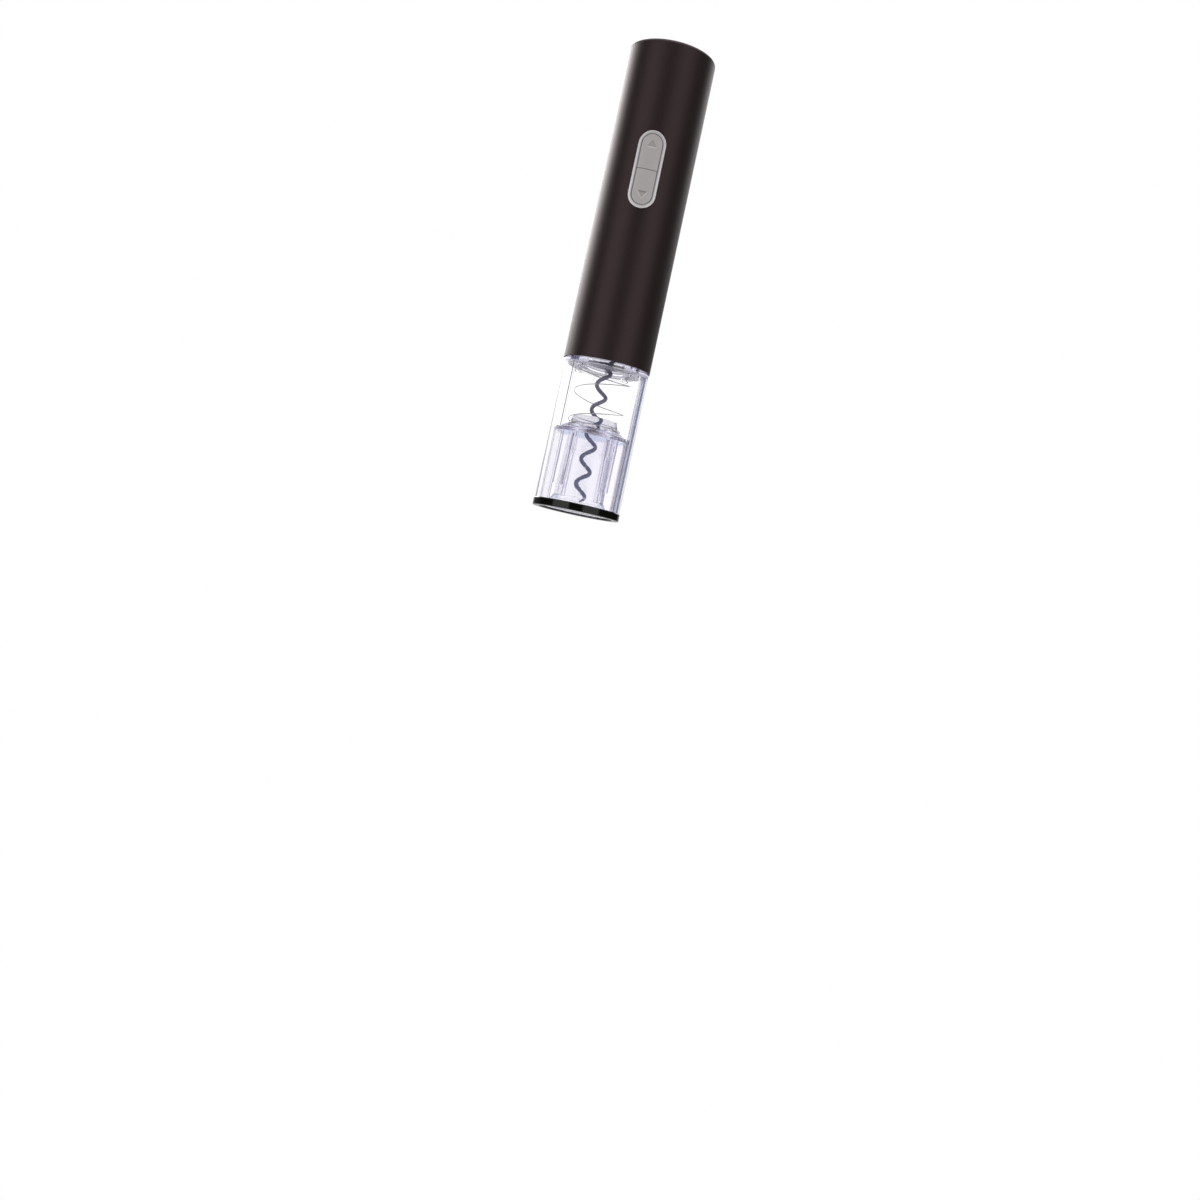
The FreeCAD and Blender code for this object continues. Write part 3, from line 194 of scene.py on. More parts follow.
# %% A finish and its patterns
class Finish(Nodes):
    """One material: a Principled shader in its tree, and the patterns that the finishes share."""

    def __init__(self, name):
        self.material = bpy.data.materials.new(name)
        self.material.use_nodes = True
        super().__init__(self.material.node_tree)
        self.shader = self.tree.nodes.new("ShaderNodeBsdfPrincipled")
        self.output = self.tree.nodes.new("ShaderNodeOutputMaterial")
        self.solid = Value(self, self.shader.outputs[0])
        self.surface(self.solid)

    def surface(self, shader):
        """Makes a shader the one that shows."""
        self.feed(self.output.inputs["Surface"], shader)

    def set(self, **values):
        """Sets sockets of the Principled shader: Base_Color=..., Roughness=..."""
        for key, value in values.items():
            self.feed(self.shader.inputs[key.replace("_", " ")], value)

    def place(self):
        """The point on the part, in metres, in the opener's own frame."""
        return self.node("ShaderNodeTexCoord", out="Object")

    def axis(self, index):
        """One coordinate of that point."""
        return self.coordinate(self.place(), index)

    def radius(self):
        """Distance of that point from the upright line through the opener's middle."""
        flat = self.vector("MULTIPLY", self.place(), (1, 1, 0))
        return self.vector("DISTANCE", flat, (0, 0, 0), out=1)

    def noise(self, size, detail=2.0, stretch=(1, 1, 1)):
        """Noise from 0 to 1 with patches about `size` metres wide. A number below 1 in `stretch`
        draws them out along that axis, and one above 1 squeezes them."""
        scaled = self.node("ShaderNodeMapping", None, self.place(), Scale=stretch)
        return self.node("ShaderNodeTexNoise", None, scaled, Scale=1.0 / size, Detail=detail)

    def uneven(self, mask, colour, spread):
        """A colour that is a share `spread` darker where mask is 0 and as much lighter at 1."""
        darker = tuple(c * (1 - spread) for c in colour)
        lighter = tuple(min(1, c * (1 + spread)) for c in colour)
        return self.mix(mask, darker, lighter)

    def relief(self, height, depth, strength):
        """Feeds Normal with a bump that shades as if white stood `depth` metres above black."""
        bump = self.node("ShaderNodeBump", None, Height=height, Distance=depth, Strength=strength)
        self.set(Normal=bump)
        return self


print("patterns of a finish:", ", ".join(name for name in vars(Finish) if name[0] != "_"))

# %% [markdown]
# ## The dark housing
# The tube and the cap look like near-black brown plastic with a soft satin sheen. Such a surface
# is never quite even: it has a fine grain that breaks up the highlight, and a slow change of
# sheen along the tube. Noise of two sizes gives the two. The highlight is tinted slightly red.

# %% Satin brown-black
def satin_black(name, colour):
    """Colour and roughness drift slowly along the tube, and a fine grain roughens the sheen."""
    f = Finish(name)
    drift = f.noise(30 * MM, 2, (1, 1, 0.35))
    grain = f.noise(0.35 * MM, 3)
    f.set(Base_Color=f.mix(0.25 * drift, colour, tuple(1.5 * c for c in colour)))
    f.set(Roughness=0.36 + 0.05 * drift + 0.05 * grain, IOR=1.6, Specular_Tint=(1, 0.7, 0.72))
    return f.relief(grain, 0.02 * MM, 0.5).material


housing_finish = satin_black("housing satin", (0.0125, 0.0085, 0.0092))
print("made:", housing_finish.name)

# %% [markdown]
# ## Gloss black trim
# The ring at the barrel's mouth is polished, so it has a low roughness and a very faint waviness
# instead of grain. Seen through the clear mouth, the far side of the ring looks pale above a thin
# black line. What the real ring has on its inside isn't known: the pale inner wall is a painted
# reflection of the white below the mouth, and its faint glow is painted light, since the ring is
# no lamp. A mask of radius and height picks it out.

# %% Gloss black
RING_WALL, RING_LIP = 0.6 * MM, 1.3 * MM    # how deep and how high the black goes


def gloss_black(name):
    """Black where a point is near the outer wall or below the lip, and elsewhere a pale painted reflection with a
    faint painted glow.
    """
    f = Finish(name)
    wave = f.noise(4 * MM, 1)
    # inside: where the colour is a painted reflection of the white below, and the emission a painted glow
    inside = (f.radius() < span("trim_ring", 0)[1] - RING_WALL) * (f.axis(2) > RING_LIP)
    f.set(Base_Color=f.mix(inside, (0.005, 0.005, 0.004), (0.97, 0.97, 0.98)),
          Roughness=0.08 + 0.05 * wave, IOR=1.5,
          Emission_Color=f.mix(inside, (0, 0, 0), (1, 0.99, 1)), Emission_Strength=0.3)
    return f.relief(wave, 0.04 * MM, 0.2).material


trim_finish = gloss_black("trim gloss")
print("made:", trim_finish.name)

# %% [markdown]
# ## Clear plastic
# The barrel and the sleeve are moulded in clear plastic. It looks colourless through a thin wall
# and slate-violet where the light has run a long way inside the wall, as at the edges. So the
# colour is not painted on the surface: a volume inside the walls takes a little light for every
# millimetre. A Principled shader with full transmission bends the light as clear walls do. Rays
# that only ask how much light arrives can't find a way through bending walls, so they meet a
# plain transparent shader instead.

# %% Clear plastic with a tint
def clear_plastic(name, absorb, density, roughness=0.0):
    """Bends light like acrylic, ripples very slightly, and lets shadow rays pass almost white.
    `absorb` is the tint of a thick wall, and `density` says how soon it shows, per metre."""
    f = Finish(name)
    f.set(Base_Color=(1, 1, 1), Roughness=roughness, IOR=1.49, Transmission_Weight=1.0)
    f.relief(f.noise(6 * MM, 1), 0.02 * MM, 0.3)
    through = f.node("ShaderNodeBsdfTransparent", None, (0.96, 0.96, 0.98))
    f.surface(f.blend(f.ray("Is Shadow Ray"), f.solid, through))
    tint = f.node("ShaderNodeVolumeAbsorption", None, absorb, density)
    f.feed(f.output.inputs["Volume"], tint)
    return f.material


barrel_finish = clear_plastic("barrel clear", (0.54, 0.50, 0.70), 22.0)
sleeve_finish = clear_plastic("sleeve clear", (0.53, 0.50, 0.68), 40.0, 0.02)
print("made:", barrel_finish.name, "and", sleeve_finish.name)

# %% [markdown]
# ## Painted light and shade on the keys and their surround
# The two keys share one round-ended outline, with an arrow pressed into each, and the surround
# follows it with a painted highlight on its rim. The arrows are shapes of the model, a third of a
# millimetre deep, and soft light hardly shows anything so shallow. So masks paint light where a
# face would catch it and paint shade where it would lie in shade. They are worked out from the
# distance to the outline.

# %% The round-ended outline
def inside_pill(f, wide_node, low_node, high_node):
    """How far a point is inside an upright round-ended outline, in metres: half the outline's
    width less the distance to the line that joins the centres of its two round ends."""
    half = span(wide_node, 0)[1]
    low, high = span(low_node)[0] + half, span(high_node)[1] - half
    beyond = abs(f.axis(2) - (low + high) / 2) - (high - low) / 2
    beyond = f.node("ShaderNodeMath", {"operation": "MAXIMUM"}, beyond, 0.0)
    return half - (f.axis(0) * f.axis(0) + beyond * beyond) ** 0.5


print("half the width of the keys:", round(span("key_up", 0)[1] / MM, 2), "mm")

# %% Arrows and edge of the keys
ARROW_FOOT = 12.4 * MM                         # from the line between the keys
ARROW_HALF, ARROW_HIGH = 2.65 * MM, 4.0 * MM   # half the width of an arrow, and its height
ARROW_LINE = 0.45 * MM                         # width of its lit or shaded edge
KEY_EDGE = 0.75 * MM                           # how far in from the outline the keys gleam


def key_light_and_shade(f):
    """Masks of painted light and painted shade: a painted highlight along the keys' edge, and the
    two pressed arrows. An arrow is a triangle that narrows evenly from its foot to its tip. Light
    comes from above, so painted light falls on the foot of the up arrow and the two sloping sides
    of the down arrow, and painted shade on the floor of each arrow and the foot of the down arrow."""
    middle = (span("key_down")[1] + span("key_up")[0]) / 2
    rise = f.axis(2) - middle
    up = rise > 0.0
    along = abs(rise) - ARROW_FOOT
    inside = (ARROW_HALF - (ARROW_HALF / ARROW_HIGH) * along) - abs(f.axis(0))
    # The floor of each arrow, which gets painted shade
    arrow_shade = (along > 0.0) * f.fade(inside, 0.0, 0.5 * ARROW_LINE)
    thin = 0.4 * ARROW_LINE, ARROW_LINE, 1.0, 0.0
    foot = f.fade(abs(along), *thin) * (inside > 0.0)
    sides = f.fade(abs(inside), *thin) * (along > 0.0) * (along < ARROW_HIGH)
    to_edge = abs(inside_pill(f, "key_up", "key_down", "key_up") - KEY_EDGE)
    edge = f.fade(to_edge, 0.1 * MM, 0.5 * MM, 1.0, 0.0)
    lit = up * foot + (1 - up) * sides + 0.3 * edge
    return 0.65 * lit, 0.17 * arrow_shade + 0.35 * (1 - up) * foot


print("arrows:", round(2 * ARROW_HALF / MM, 1), "mm wide,", round(ARROW_HIGH / MM, 1), "mm high")

# %% Painted highlight on the rim of the surround
RIM_INNER, RIM_OUTER = 1.4 * MM, 0.6 * MM      # where the rim starts and where it is full


def rim_highlight(f):
    """A painted highlight on the surround's rim, brightest at its foot. Its flat inner band stays
    grey, and no shade is painted on it."""
    low, high = span("button_bezel")
    inside = inside_pill(f, "button_bezel", "button_bezel", "button_bezel")
    rim = f.fade(inside, RIM_INNER, RIM_OUTER)
    return rim * f.fade(f.axis(2), high, low, 0.6, 1.0), 0.0


print("surround:", [round(v / MM, 1) for v in span("button_bezel")], "mm up the opener")

# %% [markdown]
# ## Silver paint
# The surround of the keys is bright silver paint, and the keys are a duller grey one. Metallic
# paint is tiny flakes in lacquer: partly metal, not very sharp, with a sparkle that noise at a
# fifth of a millimetre gives. The masks from above then paint highlights and shade on it.

# %% Metallic paint
# Colours of the painted highlights and the painted shade
LIT_SILVER, SHADED_SILVER = (0.87, 0.85, 0.86), (0.12, 0.115, 0.12)


def metallic_paint(name, colour, metal, roughness, marks):
    """Flaky paint, with painted highlights and painted shade where the two masks that `marks` returns say so."""
    f = Finish(name)
    flakes = f.noise(0.18 * MM, 2)
    tone = f.uneven(flakes, colour, 0.12)
    lit, shaded = marks(f)
    tone = f.mix(shaded, f.mix(lit, tone, LIT_SILVER), SHADED_SILVER)
    f.set(Base_Color=tone, Metallic=metal, Roughness=roughness + 0.08 * flakes)
    return f.relief(flakes, 0.01 * MM, 0.4).material


bezel_finish = metallic_paint("bezel silver", (0.56, 0.53, 0.545), 0.3, 0.3, rim_highlight)
key_finish = metallic_paint("key silver", (0.52, 0.49, 0.487), 0.15, 0.42, key_light_and_shade)
print("made:", bezel_finish.name, "and", key_finish.name)

# %% [markdown]
# ## Plain metals and plain plastics
# Most parts inside are plain metal or plain plastic. One recipe for each is enough, with the
# colour and the scale of its marks changed from part to part: turned brass has fine rings, a
# stack of iron sheets has layers, and sintered steel is speckled. These parts are closed in, so
# their colours are guessed from what such parts are usually made of.

# %% Plain metal and plain plastic
def metal(name, colour, roughness=0.3, size=0.6 * MM, stretch=(1, 1, 1), spread=0.12):
    """Bare metal whose tone, sharpness and surface follow the same marks."""
    f = Finish(name)
    marks = f.noise(size, 3, stretch)
    tone = f.uneven(marks, colour, spread)
    f.set(Base_Color=tone, Metallic=1.0, Roughness=roughness - 0.06 + 0.12 * marks)
    return f.relief(marks, 0.01 * MM, 0.5).material


def moulded(name, colour, roughness=0.45, size=0.5 * MM):
    """Plastic with a slow change of tone and a fine moulded grain."""
    f = Finish(name)
    fine, slow = f.noise(size, 2), f.noise(12 * MM, 1)
    f.set(Base_Color=f.uneven(slow, colour, 0.1), Roughness=roughness + 0.08 * fine)
    return f.relief(fine, 0.02 * MM, 0.3).material


wire_finish = metal("spring wire", (0.55, 0.53, 0.5))
print("made:", wire_finish.name)

# %% [markdown]
# ## The worm's coat and the skin of the cells
# The worm has a dark slick coat. Its colour is painted bluer and darker towards the point, as a
# painted tint and painted shade of the light that reaches it through the clear plastic; the coat
# itself has one colour all along. A cell is dark wrap with a silver band at the top and bare
# steel at its ends. The four cells stand at the corners of a square, so folding both axes over
# the middle lays all four on one, and a single circle then marks the steel.

# %% Two finishes that follow the shape
CELL_RADIUS, CELL_STEEL, CELL_BAND = 7.1 * MM, 6.1 * MM, 14 * MM
BLUER_BELOW, BLUEST_BELOW = 58 * MM, 50 * MM


def worm_coat(name):
    """Slick dark paint, its colour painted from grey-violet to a darker blue going down, as painted tint and shade
    of the light through the clear plastic.
    """
    f = Finish(name)
    # Painted tint and shade: bluer and darker going down
    low = f.fade(f.axis(2), BLUER_BELOW, BLUEST_BELOW)
    grain = f.noise(0.9 * MM, 2)
    f.set(Base_Color=f.mix(low, (0.175, 0.168, 0.235), (0.08, 0.098, 0.225)),
          Roughness=0.3 + 0.1 * grain, IOR=1.3)
    return f.relief(grain, 0.02 * MM, 0.3).material


def cell_skin(name):
    """Steel where the squared distance to the nearest cell's axis is below a circle's, and wrap
    elsewhere, silver on the top band and dark below it."""
    f = Finish(name)
    middle = span("battery_cells", 0)[1] - CELL_RADIUS
    aside, back = abs(f.axis(0)) - middle, abs(f.axis(1)) - middle
    steel = aside * aside + back * back < CELL_STEEL ** 2
    band = f.axis(2) > span("battery_cells")[1] - CELL_BAND
    fine = f.noise(0.6 * MM, 2)
    wrap = f.mix(band, (0.012, 0.014, 0.018), (0.30, 0.31, 0.33))
    f.set(Base_Color=f.mix(steel, wrap, (0.62, 0.62, 0.64)), Metallic=steel,
          Roughness=0.26 + 0.1 * fine)
    return f.relief(fine, 0.01 * MM, 0.3).material


worm_finish = worm_coat("worm dark coat")
print("made:", worm_finish.name)

# %% [markdown]
# ## Every part gets its finish
# The record names a material slot for each part, so one table from slot to finish dresses them
# all. Two parts differ from their slot: the barrel, which is clearer than the sleeve, and the
# nose of the gearbox. It shows through the top of the barrel, where a pale flange is seen.

# %% Dress the parts
FINISHES = {
    "housing": housing_finish, "trim": trim_finish, "bezel": bezel_finish, "keys": key_finish,
    "worm": worm_finish, "spring": wire_finish, "clear": sleeve_finish,
    "hub": moulded("hub plastic", (0.03, 0.03, 0.035), 0.35),
    "inner_plastic": moulded("inner black plastic", (0.025, 0.025, 0.028)),
    "gear_plastic": moulded("acetal", (0.72, 0.7, 0.62), 0.38),
    "gear_metal": metal("sintered steel", (0.42, 0.41, 0.4), 0.4, 0.3 * MM, spread=0.25),
    "bright_steel": metal("zinc plate", (0.62, 0.62, 0.64), 0.28),
    "brass": metal("machined brass", (0.72, 0.52, 0.22), 0.25, 0.4 * MM, (1, 1, 6)),
    "copper": metal("enamelled copper", (0.6, 0.24, 0.1), 0.3, 0.4 * MM, (1, 1, 3)),
    "iron": metal("laminated iron", (0.12, 0.12, 0.125), 0.45, 0.4 * MM, (0.05, 0.05, 6)),
    "switches": moulded("switch plastic", (0.02, 0.02, 0.02), 0.4),
    "board": moulded("green board", (0.02, 0.13, 0.045), 0.3, 0.3 * MM),
    "cell": cell_skin("cell skin"),
    "wire": moulded("lead insulation", (0.35, 0.02, 0.02), 0.4),
}
OWN_FINISHES = {
    "clear_barrel": barrel_finish,
    "gearbox_nose": moulded("nose plastic", (0.42, 0.40, 0.47), 0.4),
}
slot_of = {row["node"]: row["material_slot"] for row in frame["record"]["subparts"]}
for node, part in NODES.items():
    part.data.materials.clear()
    part.data.materials.append(OWN_FINISHES.get(node) or FINISHES[slot_of[node]])
print(len(bpy.data.materials), "finishes on", len(NODES), "parts")

# %% [markdown]
# ## A wire carried along a path
# The worm and the spring are both round wires bent into a screw. In the engineering model the
# worm's wire has twelve sides and the spring's has six, which is enough to build from but not to
# look at. A circle carried along a path gives the round wire: each ring of the tube is a circle
# set square to the path, and joining each ring to the next gives its faces.

# %% A tube along a path
def grid_faces(rows, columns):
    """Quads of a grid whose columns close into a ring: each joins a point, its neighbour in the
    row, and the same two of the next row. The first column follows the last."""
    r, c = np.meshgrid(np.arange(rows - 1), np.arange(columns), indexing="ij")
    here, after = r * columns + c, r * columns + (c + 1) % columns
    return np.stack([here, after, after + columns, here + columns], -1).reshape(-1, 4)


def helix(angle, reach, heights):
    """A path round the opener's middle line: at each height, `reach` metres out in the direction
    (cos angle, sin angle). Gives the points of the path and those directions."""
    outward = np.stack([np.cos(angle), np.sin(angle), 0 * heights], 1)
    upright = np.stack([0 * heights, 0 * heights, heights], 1)
    return outward * reach[:, None] + upright, outward


def wire_tube(path, radii, outward, sides):
    """Points of a round wire: path + radius * (cos a * out + sin a * across), for a all round
    each ring, where across is square to the path and to outward, and out is square to across and
    to the path. The ends close on one point each."""
    along = np.gradient(path, axis=0)
    along /= np.linalg.norm(along, axis=1, keepdims=True)
    across = np.cross(along, outward)
    across /= np.linalg.norm(across, axis=1, keepdims=True)
    a = np.linspace(0, 2 * np.pi, sides, endpoint=False)[None, :, None]
    circle = np.cos(a) * np.cross(across, along)[:, None] + np.sin(a) * across[:, None]
    rings = path[:, None] + radii[:, None, None] * circle
    points = np.concatenate([rings.reshape(-1, 3), path[:1], path[-1:]])
    end = len(path) * sides
    side = np.arange(sides)
    after = (side + 1) % sides
    foot_cap = np.stack([after, side, np.full(sides, end)], 1)
    top_cap = np.stack([end - sides + side, end - sides + after, np.full(sides, end + 1)], 1)
    return points, grid_faces(len(path), sides).tolist() + foot_cap.tolist() + top_cap.tolist()


print("two rings of four points join with", len(grid_faces(2, 4)), "faces")

# %% [markdown]
# ## From points to a part
# A new piece is made from its points and faces and shaded smooth. Then it is given its finish
# and told which body it moves with.

# %% A new piece
def new_piece(name, points, faces, finish, body):
    """An object with this mesh and finish, which rides on a body."""
    mesh = bpy.data.meshes.new(name)
    mesh.from_pydata(points.tolist(), [], faces)
    mesh.polygons.foreach_set("use_smooth", [True] * len(mesh.polygons))
    mesh.materials.append(finish)
    piece = bpy.data.objects.new(name, mesh)
    bpy.context.scene.collection.objects.link(piece)
    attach(piece, body)
    print(name + ":", len(points), "points,", len(faces), "faces")
    return piece


# %% [markdown]
# ## The worm
# The worm is one round wire wound into an open screw and ground to a point. At its top the screw
# bends in to the middle line, where the hub holds it. So its path is a helix whose reach falls to
# nothing over the bend. Over the lowest third of a turn the wire thins as a ground point does,
# quickly at the tip and slowly above it, which is the curve of a square root.

# %% The worm itself
WORM_R, WORM_WIRE = 3.3 * MM, 1.15 * MM        # reach of the screw, and radius of its wire
WORM_PITCH, WORM_RIGHT = 14.35 * MM, 9.6 * MM  # rise of a turn, and height where one points right
BEND_LOW, BEND_HIGH = 80.5 * MM, 87.5 * MM     # where the screw bends in to the middle line
WORM_SIDES = 28
POINT_TURNS, POINT_SHARE = 0.32, 0.07          # length of the ground point, and its tip's width
TIP_ROOM = 0.12 * MM                           # for the tip, which still has some thickness


def smooth(t):
    """Goes from 0 to 1 with level ends: three t squared less two t cubed."""
    t = np.clip(t, 0, 1)
    return t * t * (3 - 2 * t)


worm_foot, worm_top = span("worm")
worm_foot += TIP_ROOM
point_top = worm_foot + POINT_TURNS * WORM_PITCH
stretches = [(worm_foot, point_top, 40), (point_top, BEND_LOW, 420),
             (BEND_LOW, BEND_HIGH, 60), (BEND_HIGH, worm_top, 4)]    # from, to, rings
heights = [np.linspace(low, high, rings, endpoint=False) for low, high, rings in stretches]
heights = np.concatenate(heights + [[worm_top]])
angle = 2 * np.pi * (np.minimum(heights, BEND_HIGH) - WORM_RIGHT) / WORM_PITCH
reach = WORM_R * (1 - smooth((heights - BEND_LOW) / (BEND_HIGH - BEND_LOW)))
path, outward = helix(angle, reach, heights)
ground = np.clip((heights - worm_foot) / (point_top - worm_foot), 0, 1)
radii = WORM_WIRE * (POINT_SHARE + (1 - POINT_SHARE) * np.sqrt(ground))
points, faces = wire_tube(path, radii, outward, WORM_SIDES)
worm_wire = new_piece("worm_wire", points, faces, worm_finish, "worm_drive")
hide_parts("worm")

# %% [markdown]
# ## The return spring
# A light compression spring stands between the sleeve's shoulder and the barrel's top. Its end
# coils lie flat, so it sits square. The height of the wire therefore isn't a straight line
# against the turn: it starts level, climbs at an even pitch, and ends level. Two soft corners
# give that. The spring then gets a mesh of its own; nothing here flattens it when the sleeve
# slides up.

# %% The spring itself
SPRING_R, SPRING_WIRE = 15.2 * MM, 0.28 * MM       # reach of the coil, and radius of its wire
SPRING_PITCH, SPRING_RIGHT = 16.9 * MM, 60.0 * MM  # as for the worm
SPRING_SIDES, SPRING_RINGS = 10, 700
FLAT_TURNS, SOFT_CORNER = 0.8, 1.6 * MM            # turns past each corner, and its softness


def levelled(plain, low, high):
    """A straight climb, held softly between low and high. Each soft corner is c times the log of
    1 plus e to the power of the distance past it over c, where c is how soft the corner is."""
    risen = low + SOFT_CORNER * np.logaddexp(0, (plain - low) / SOFT_CORNER)
    return high - SOFT_CORNER * np.logaddexp(0, (high - risen) / SOFT_CORNER)


spring_z0, spring_z1 = span("return_spring")
low, high = spring_z0 + SPRING_WIRE, spring_z1 - SPRING_WIRE
turns = np.linspace((low - SPRING_RIGHT) / SPRING_PITCH - FLAT_TURNS,
                    (high - SPRING_RIGHT) / SPRING_PITCH + FLAT_TURNS, SPRING_RINGS)
heights = levelled(SPRING_RIGHT + SPRING_PITCH * turns, low, high)
path, outward = helix(2 * np.pi * turns, np.full(SPRING_RINGS, SPRING_R), heights)
points, faces = wire_tube(path, np.full(SPRING_RINGS, SPRING_WIRE), outward, SPRING_SIDES)
spring = new_piece("spring_wire", points, faces, wire_finish, "opener")
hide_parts("return_spring")
travel = next(j["range_m"][1] for j in frame["joints"] if j["name"] == "sleeve_slide")
seat = 82.5 * MM
(seat - spring_z0 - travel) / (seat - spring_z0)
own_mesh(spring)
print("spring turns:", round(float(turns[-1] - turns[0]), 2))

# %% [markdown]
# ## The floor
# The opener floats well above a white floor. The eye sees the floor as pure white, and every
# other ray sees a matt grey, so the white background adds no light to the opener.

# %% Floor
FLOOR_HALF, FLOOR_Z = 3.0, -0.3


def studio_floor():
    """Pure white to the camera and pale matt grey to everything else."""
    f = Finish("floor")
    matt = f.node("ShaderNodeBsdfDiffuse", None, (0.8, 0.8, 0.8))
    white = f.node("ShaderNodeEmission", None, (1, 1, 1), 1.0)
    f.surface(f.blend(f.ray("Is Camera Ray"), matt, white))
    return f.material


corners = [(-1, -1), (1, -1), (1, 1), (-1, 1)]
mesh = bpy.data.meshes.new("floor")
mesh.from_pydata([(FLOOR_HALF * x, FLOOR_HALF * y, FLOOR_Z) for x, y in corners], [],
                 [(0, 1, 2, 3)])
mesh.materials.append(studio_floor())
floor = bpy.data.objects.new("floor", mesh)
bpy.context.scene.collection.objects.link(floor)
print("floor:", 2 * FLOOR_HALF, "m wide,", -FLOOR_Z, "m below the opener's foot")

# %% [markdown]
# ## The light
# All the light comes from the world, so it has no hard shadows and works from every side. The
# world gives each kind of ray its own view. Matt surfaces see one even brightness, and the eye
# sees plain white. Polished and satin surfaces see a studio: a glow overhead, a dim soft box
# straight behind, a bright one behind on the left, a weaker one behind on the right that hangs
# higher, and two dim ones in front. Each box is a smooth patch round a compass direction.

# %% A world that knows directions
WHITE = (1, 1, 1)


class Sky(Nodes):
    """The world as a node tree, with the direction of each ray: level is its compass direction,
    and climb is the sine of its height angle."""

    def __init__(self, world):
        world.use_nodes = True
        super().__init__(world.node_tree)
        way = self.node("ShaderNodeTexCoord", out="Generated")
        self.level = self.vector("NORMALIZE", self.vector("MULTIPLY", way, (1, 1, 0)))
        self.climb = self.coordinate(way, 2)

    def soft_box(self, compass, half, edge, strength=1.0, lowest=-1.2, full=-1.1):
        """Bright patch `half` degrees either side of a compass direction, 0 in front and 90 on
        the right, that fades out over `edge` degrees more. Going up, it fades in from the climb
        lowest to the climb full, and every box fades out again overhead."""
        turn, inner, outer = (math.radians(a) for a in (compass, half, half + edge))
        facing = (math.sin(turn), -math.cos(turn), 0)
        near = self.vector("DOT_PRODUCT", self.level, facing, out=1)
        patch = self.fade(near, math.cos(outer), math.cos(inner))
        rising = self.fade(self.climb, lowest, full)
        return strength * patch * rising * self.fade(self.climb, 0.40, 0.52, 1.0, 0.0)


print("a ray that climbs at 30 degrees has a climb of", round(math.sin(math.radians(30)), 2))

# %% The studio that shiny surfaces see
SOFT_BOXES = (
    dict(compass=180, half=8, edge=30, strength=0.5),
    dict(compass=-149, half=8, edge=40, strength=6.8, lowest=0.03, full=0.37),
    dict(compass=148, half=8, edge=22, strength=2.2, lowest=0.18, full=0.44),
    dict(compass=-41, half=19, edge=6, strength=0.85),
    dict(compass=41, half=19, edge=6, strength=0.75),
)


def shiny_light(sky):
    """Nearly dark, plus a glow that grows towards straight up, plus the soft boxes."""
    glow = 0.004 + 1.3 * sky.fade(sky.climb, 0.5, 0.9)
    for box in SOFT_BOXES:
        glow = glow + sky.soft_box(**box)
    return glow


print(len(SOFT_BOXES), "soft boxes")

# %% [markdown]
# ## What shows through the clear parts
# A ray that has gone through clear plastic also meets the world. It sees white with four tints,
# each laid on by direction. Rays that have crossed six clear surfaces or more have mostly been
# through the sleeve: they see a slight haze nearly all round, and pale blue above the level
# behind. A slate patch stands behind on the right. Rays that were mirrored on the way see a
# darker front, because with a white one they lay a pale veil over the worm. The tints are
# chosen, and say nothing about the real plastic.

# %% The view through the clear parts
CROSSED_SLEEVE = 5.5    # a ray inside the sleeve has crossed more clear surfaces than this
HAZE, PALE_BLUE = (0.93, 0.91, 0.94), (0.55, 0.65, 0.84)
SLATE, DARKER_FRONT = (0.16, 0.18, 0.28), (0.46, 0.45, 0.53)


def clear_view(sky, crossed):
    """White, mixed in turn with haze, pale blue, slate and the darker front. `crossed` is the
    number of clear surfaces that the ray has gone through."""
    deep = crossed > CROSSED_SLEEVE
    haze = deep * (1 - sky.soft_box(-176, 6, 5))
    pale = deep * sky.soft_box(180, 36, 4, lowest=0.155, full=0.175)
    slate = sky.fade(sky.climb, -0.05, 0.0) * sky.soft_box(146, 8, 4)
    mirrored = sky.ray("Glossy Depth") > 0.5
    front = mirrored * sky.fade(sky.coordinate(sky.level, 1), 0.1, -0.4)
    tone = sky.mix(haze, WHITE, HAZE)
    tone = sky.mix(0.8 * pale, tone, PALE_BLUE)
    tone = sky.mix(slate, tone, SLATE)
    return sky.mix(front, tone, DARKER_FRONT)


print("the sleeve counts from", math.ceil(CROSSED_SLEEVE), "clear surfaces")

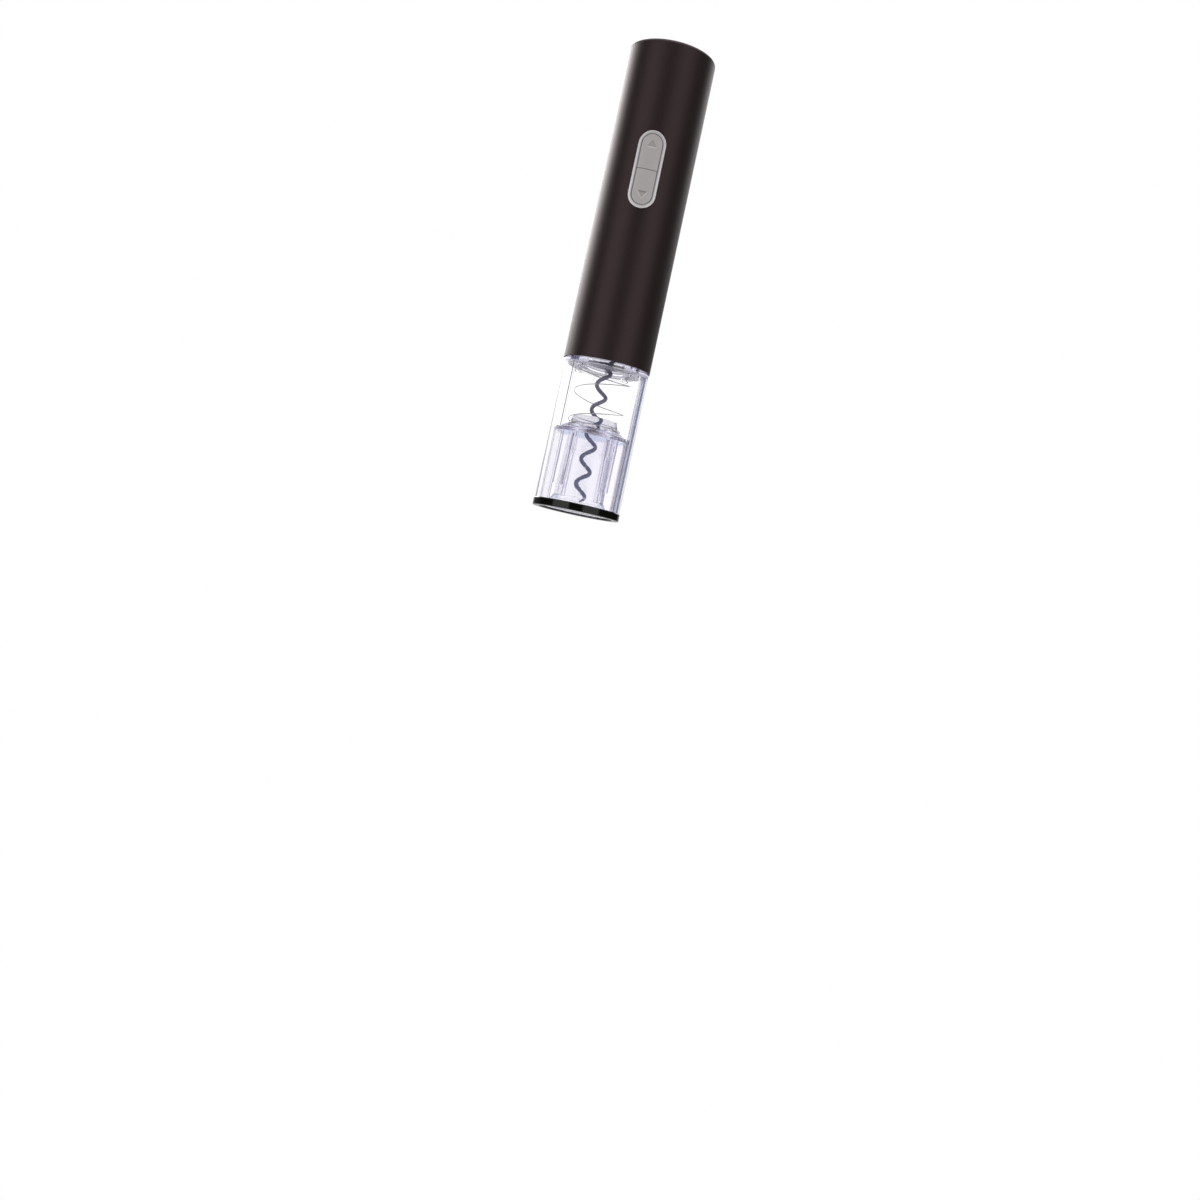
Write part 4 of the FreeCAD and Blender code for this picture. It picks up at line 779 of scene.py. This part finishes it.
# %% The world itself
def studio_sky():
    """One light for each kind of ray: matt, shiny, gone through clear plastic, or the eye's."""
    world = bpy.data.worlds.new("studio")
    sky = Sky(world)
    crossed = sky.ray("Transmission Depth")
    matt = sky.node("ShaderNodeBackground", None, WHITE, 0.8)
    shiny = sky.node("ShaderNodeBackground", None, WHITE, shiny_light(sky))
    clear = sky.node("ShaderNodeBackground", None, clear_view(sky, crossed), 1.3)
    plain = sky.node("ShaderNodeBackground", None, WHITE, 1.0)
    passed = sky.node("ShaderNodeMath", {"operation": "MINIMUM"}, crossed, 1.0)
    light = sky.blend(sky.ray("Is Glossy Ray"), matt, shiny)
    light = sky.blend(passed, light, clear)
    light = sky.blend(sky.ray("Is Camera Ray"), light, plain)
    out = sky.tree.nodes.new("ShaderNodeOutputWorld")
    sky.feed(out.inputs["Surface"], light)
    return world


bpy.context.scene.world = studio_sky()
print("world:", len(bpy.context.scene.world.node_tree.nodes), "nodes")

# %% [markdown]
# ## The camera
# The camera looks level along +Y from in front. It is then rolled, which makes the opener lean,
# and panned and tilted by a touch. Light has to cross many clear walls to get through the barrel
# and the sleeve, so rays may bounce many times before they are given up.

# %% Camera
LEAN, PAN, TILT = (math.radians(a) for a in (12.078, 0.493, -0.278))
LENS, SENSOR = 40.45, 36.0                   # both in millimetres, as Blender counts them
EYE = Vector((29.8, -768.6, -40.4)) * MM
CLEAR_BOUNCES, GLOSSY_BOUNCES = 40, 24

scene = bpy.context.scene
camera_data = bpy.data.cameras.new("camera")
camera_data.lens, camera_data.sensor_width = LENS, SENSOR
camera = bpy.data.objects.new("camera", camera_data)
scene.collection.objects.link(camera)
turn = Matrix.Rotation(math.radians(90), 4, "X") @ Matrix.Rotation(LEAN, 4, "Z")
turn = turn @ Matrix.Rotation(PAN, 4, "Y") @ Matrix.Rotation(TILT, 4, "X")
camera.matrix_world = Matrix.Translation(EYE) @ turn
scene.camera = camera
scene.view_settings.view_transform = "Standard"
scene.cycles.max_bounces = CLEAR_BOUNCES
scene.cycles.transmission_bounces = CLEAR_BOUNCES
scene.cycles.glossy_bounces = GLOSSY_BOUNCES
print("camera:", round(EYE.length, 3), "m from the opener's foot")

# %% [markdown]
# ## Size
# The finer worm and spring must not make the opener larger than the engineering model.
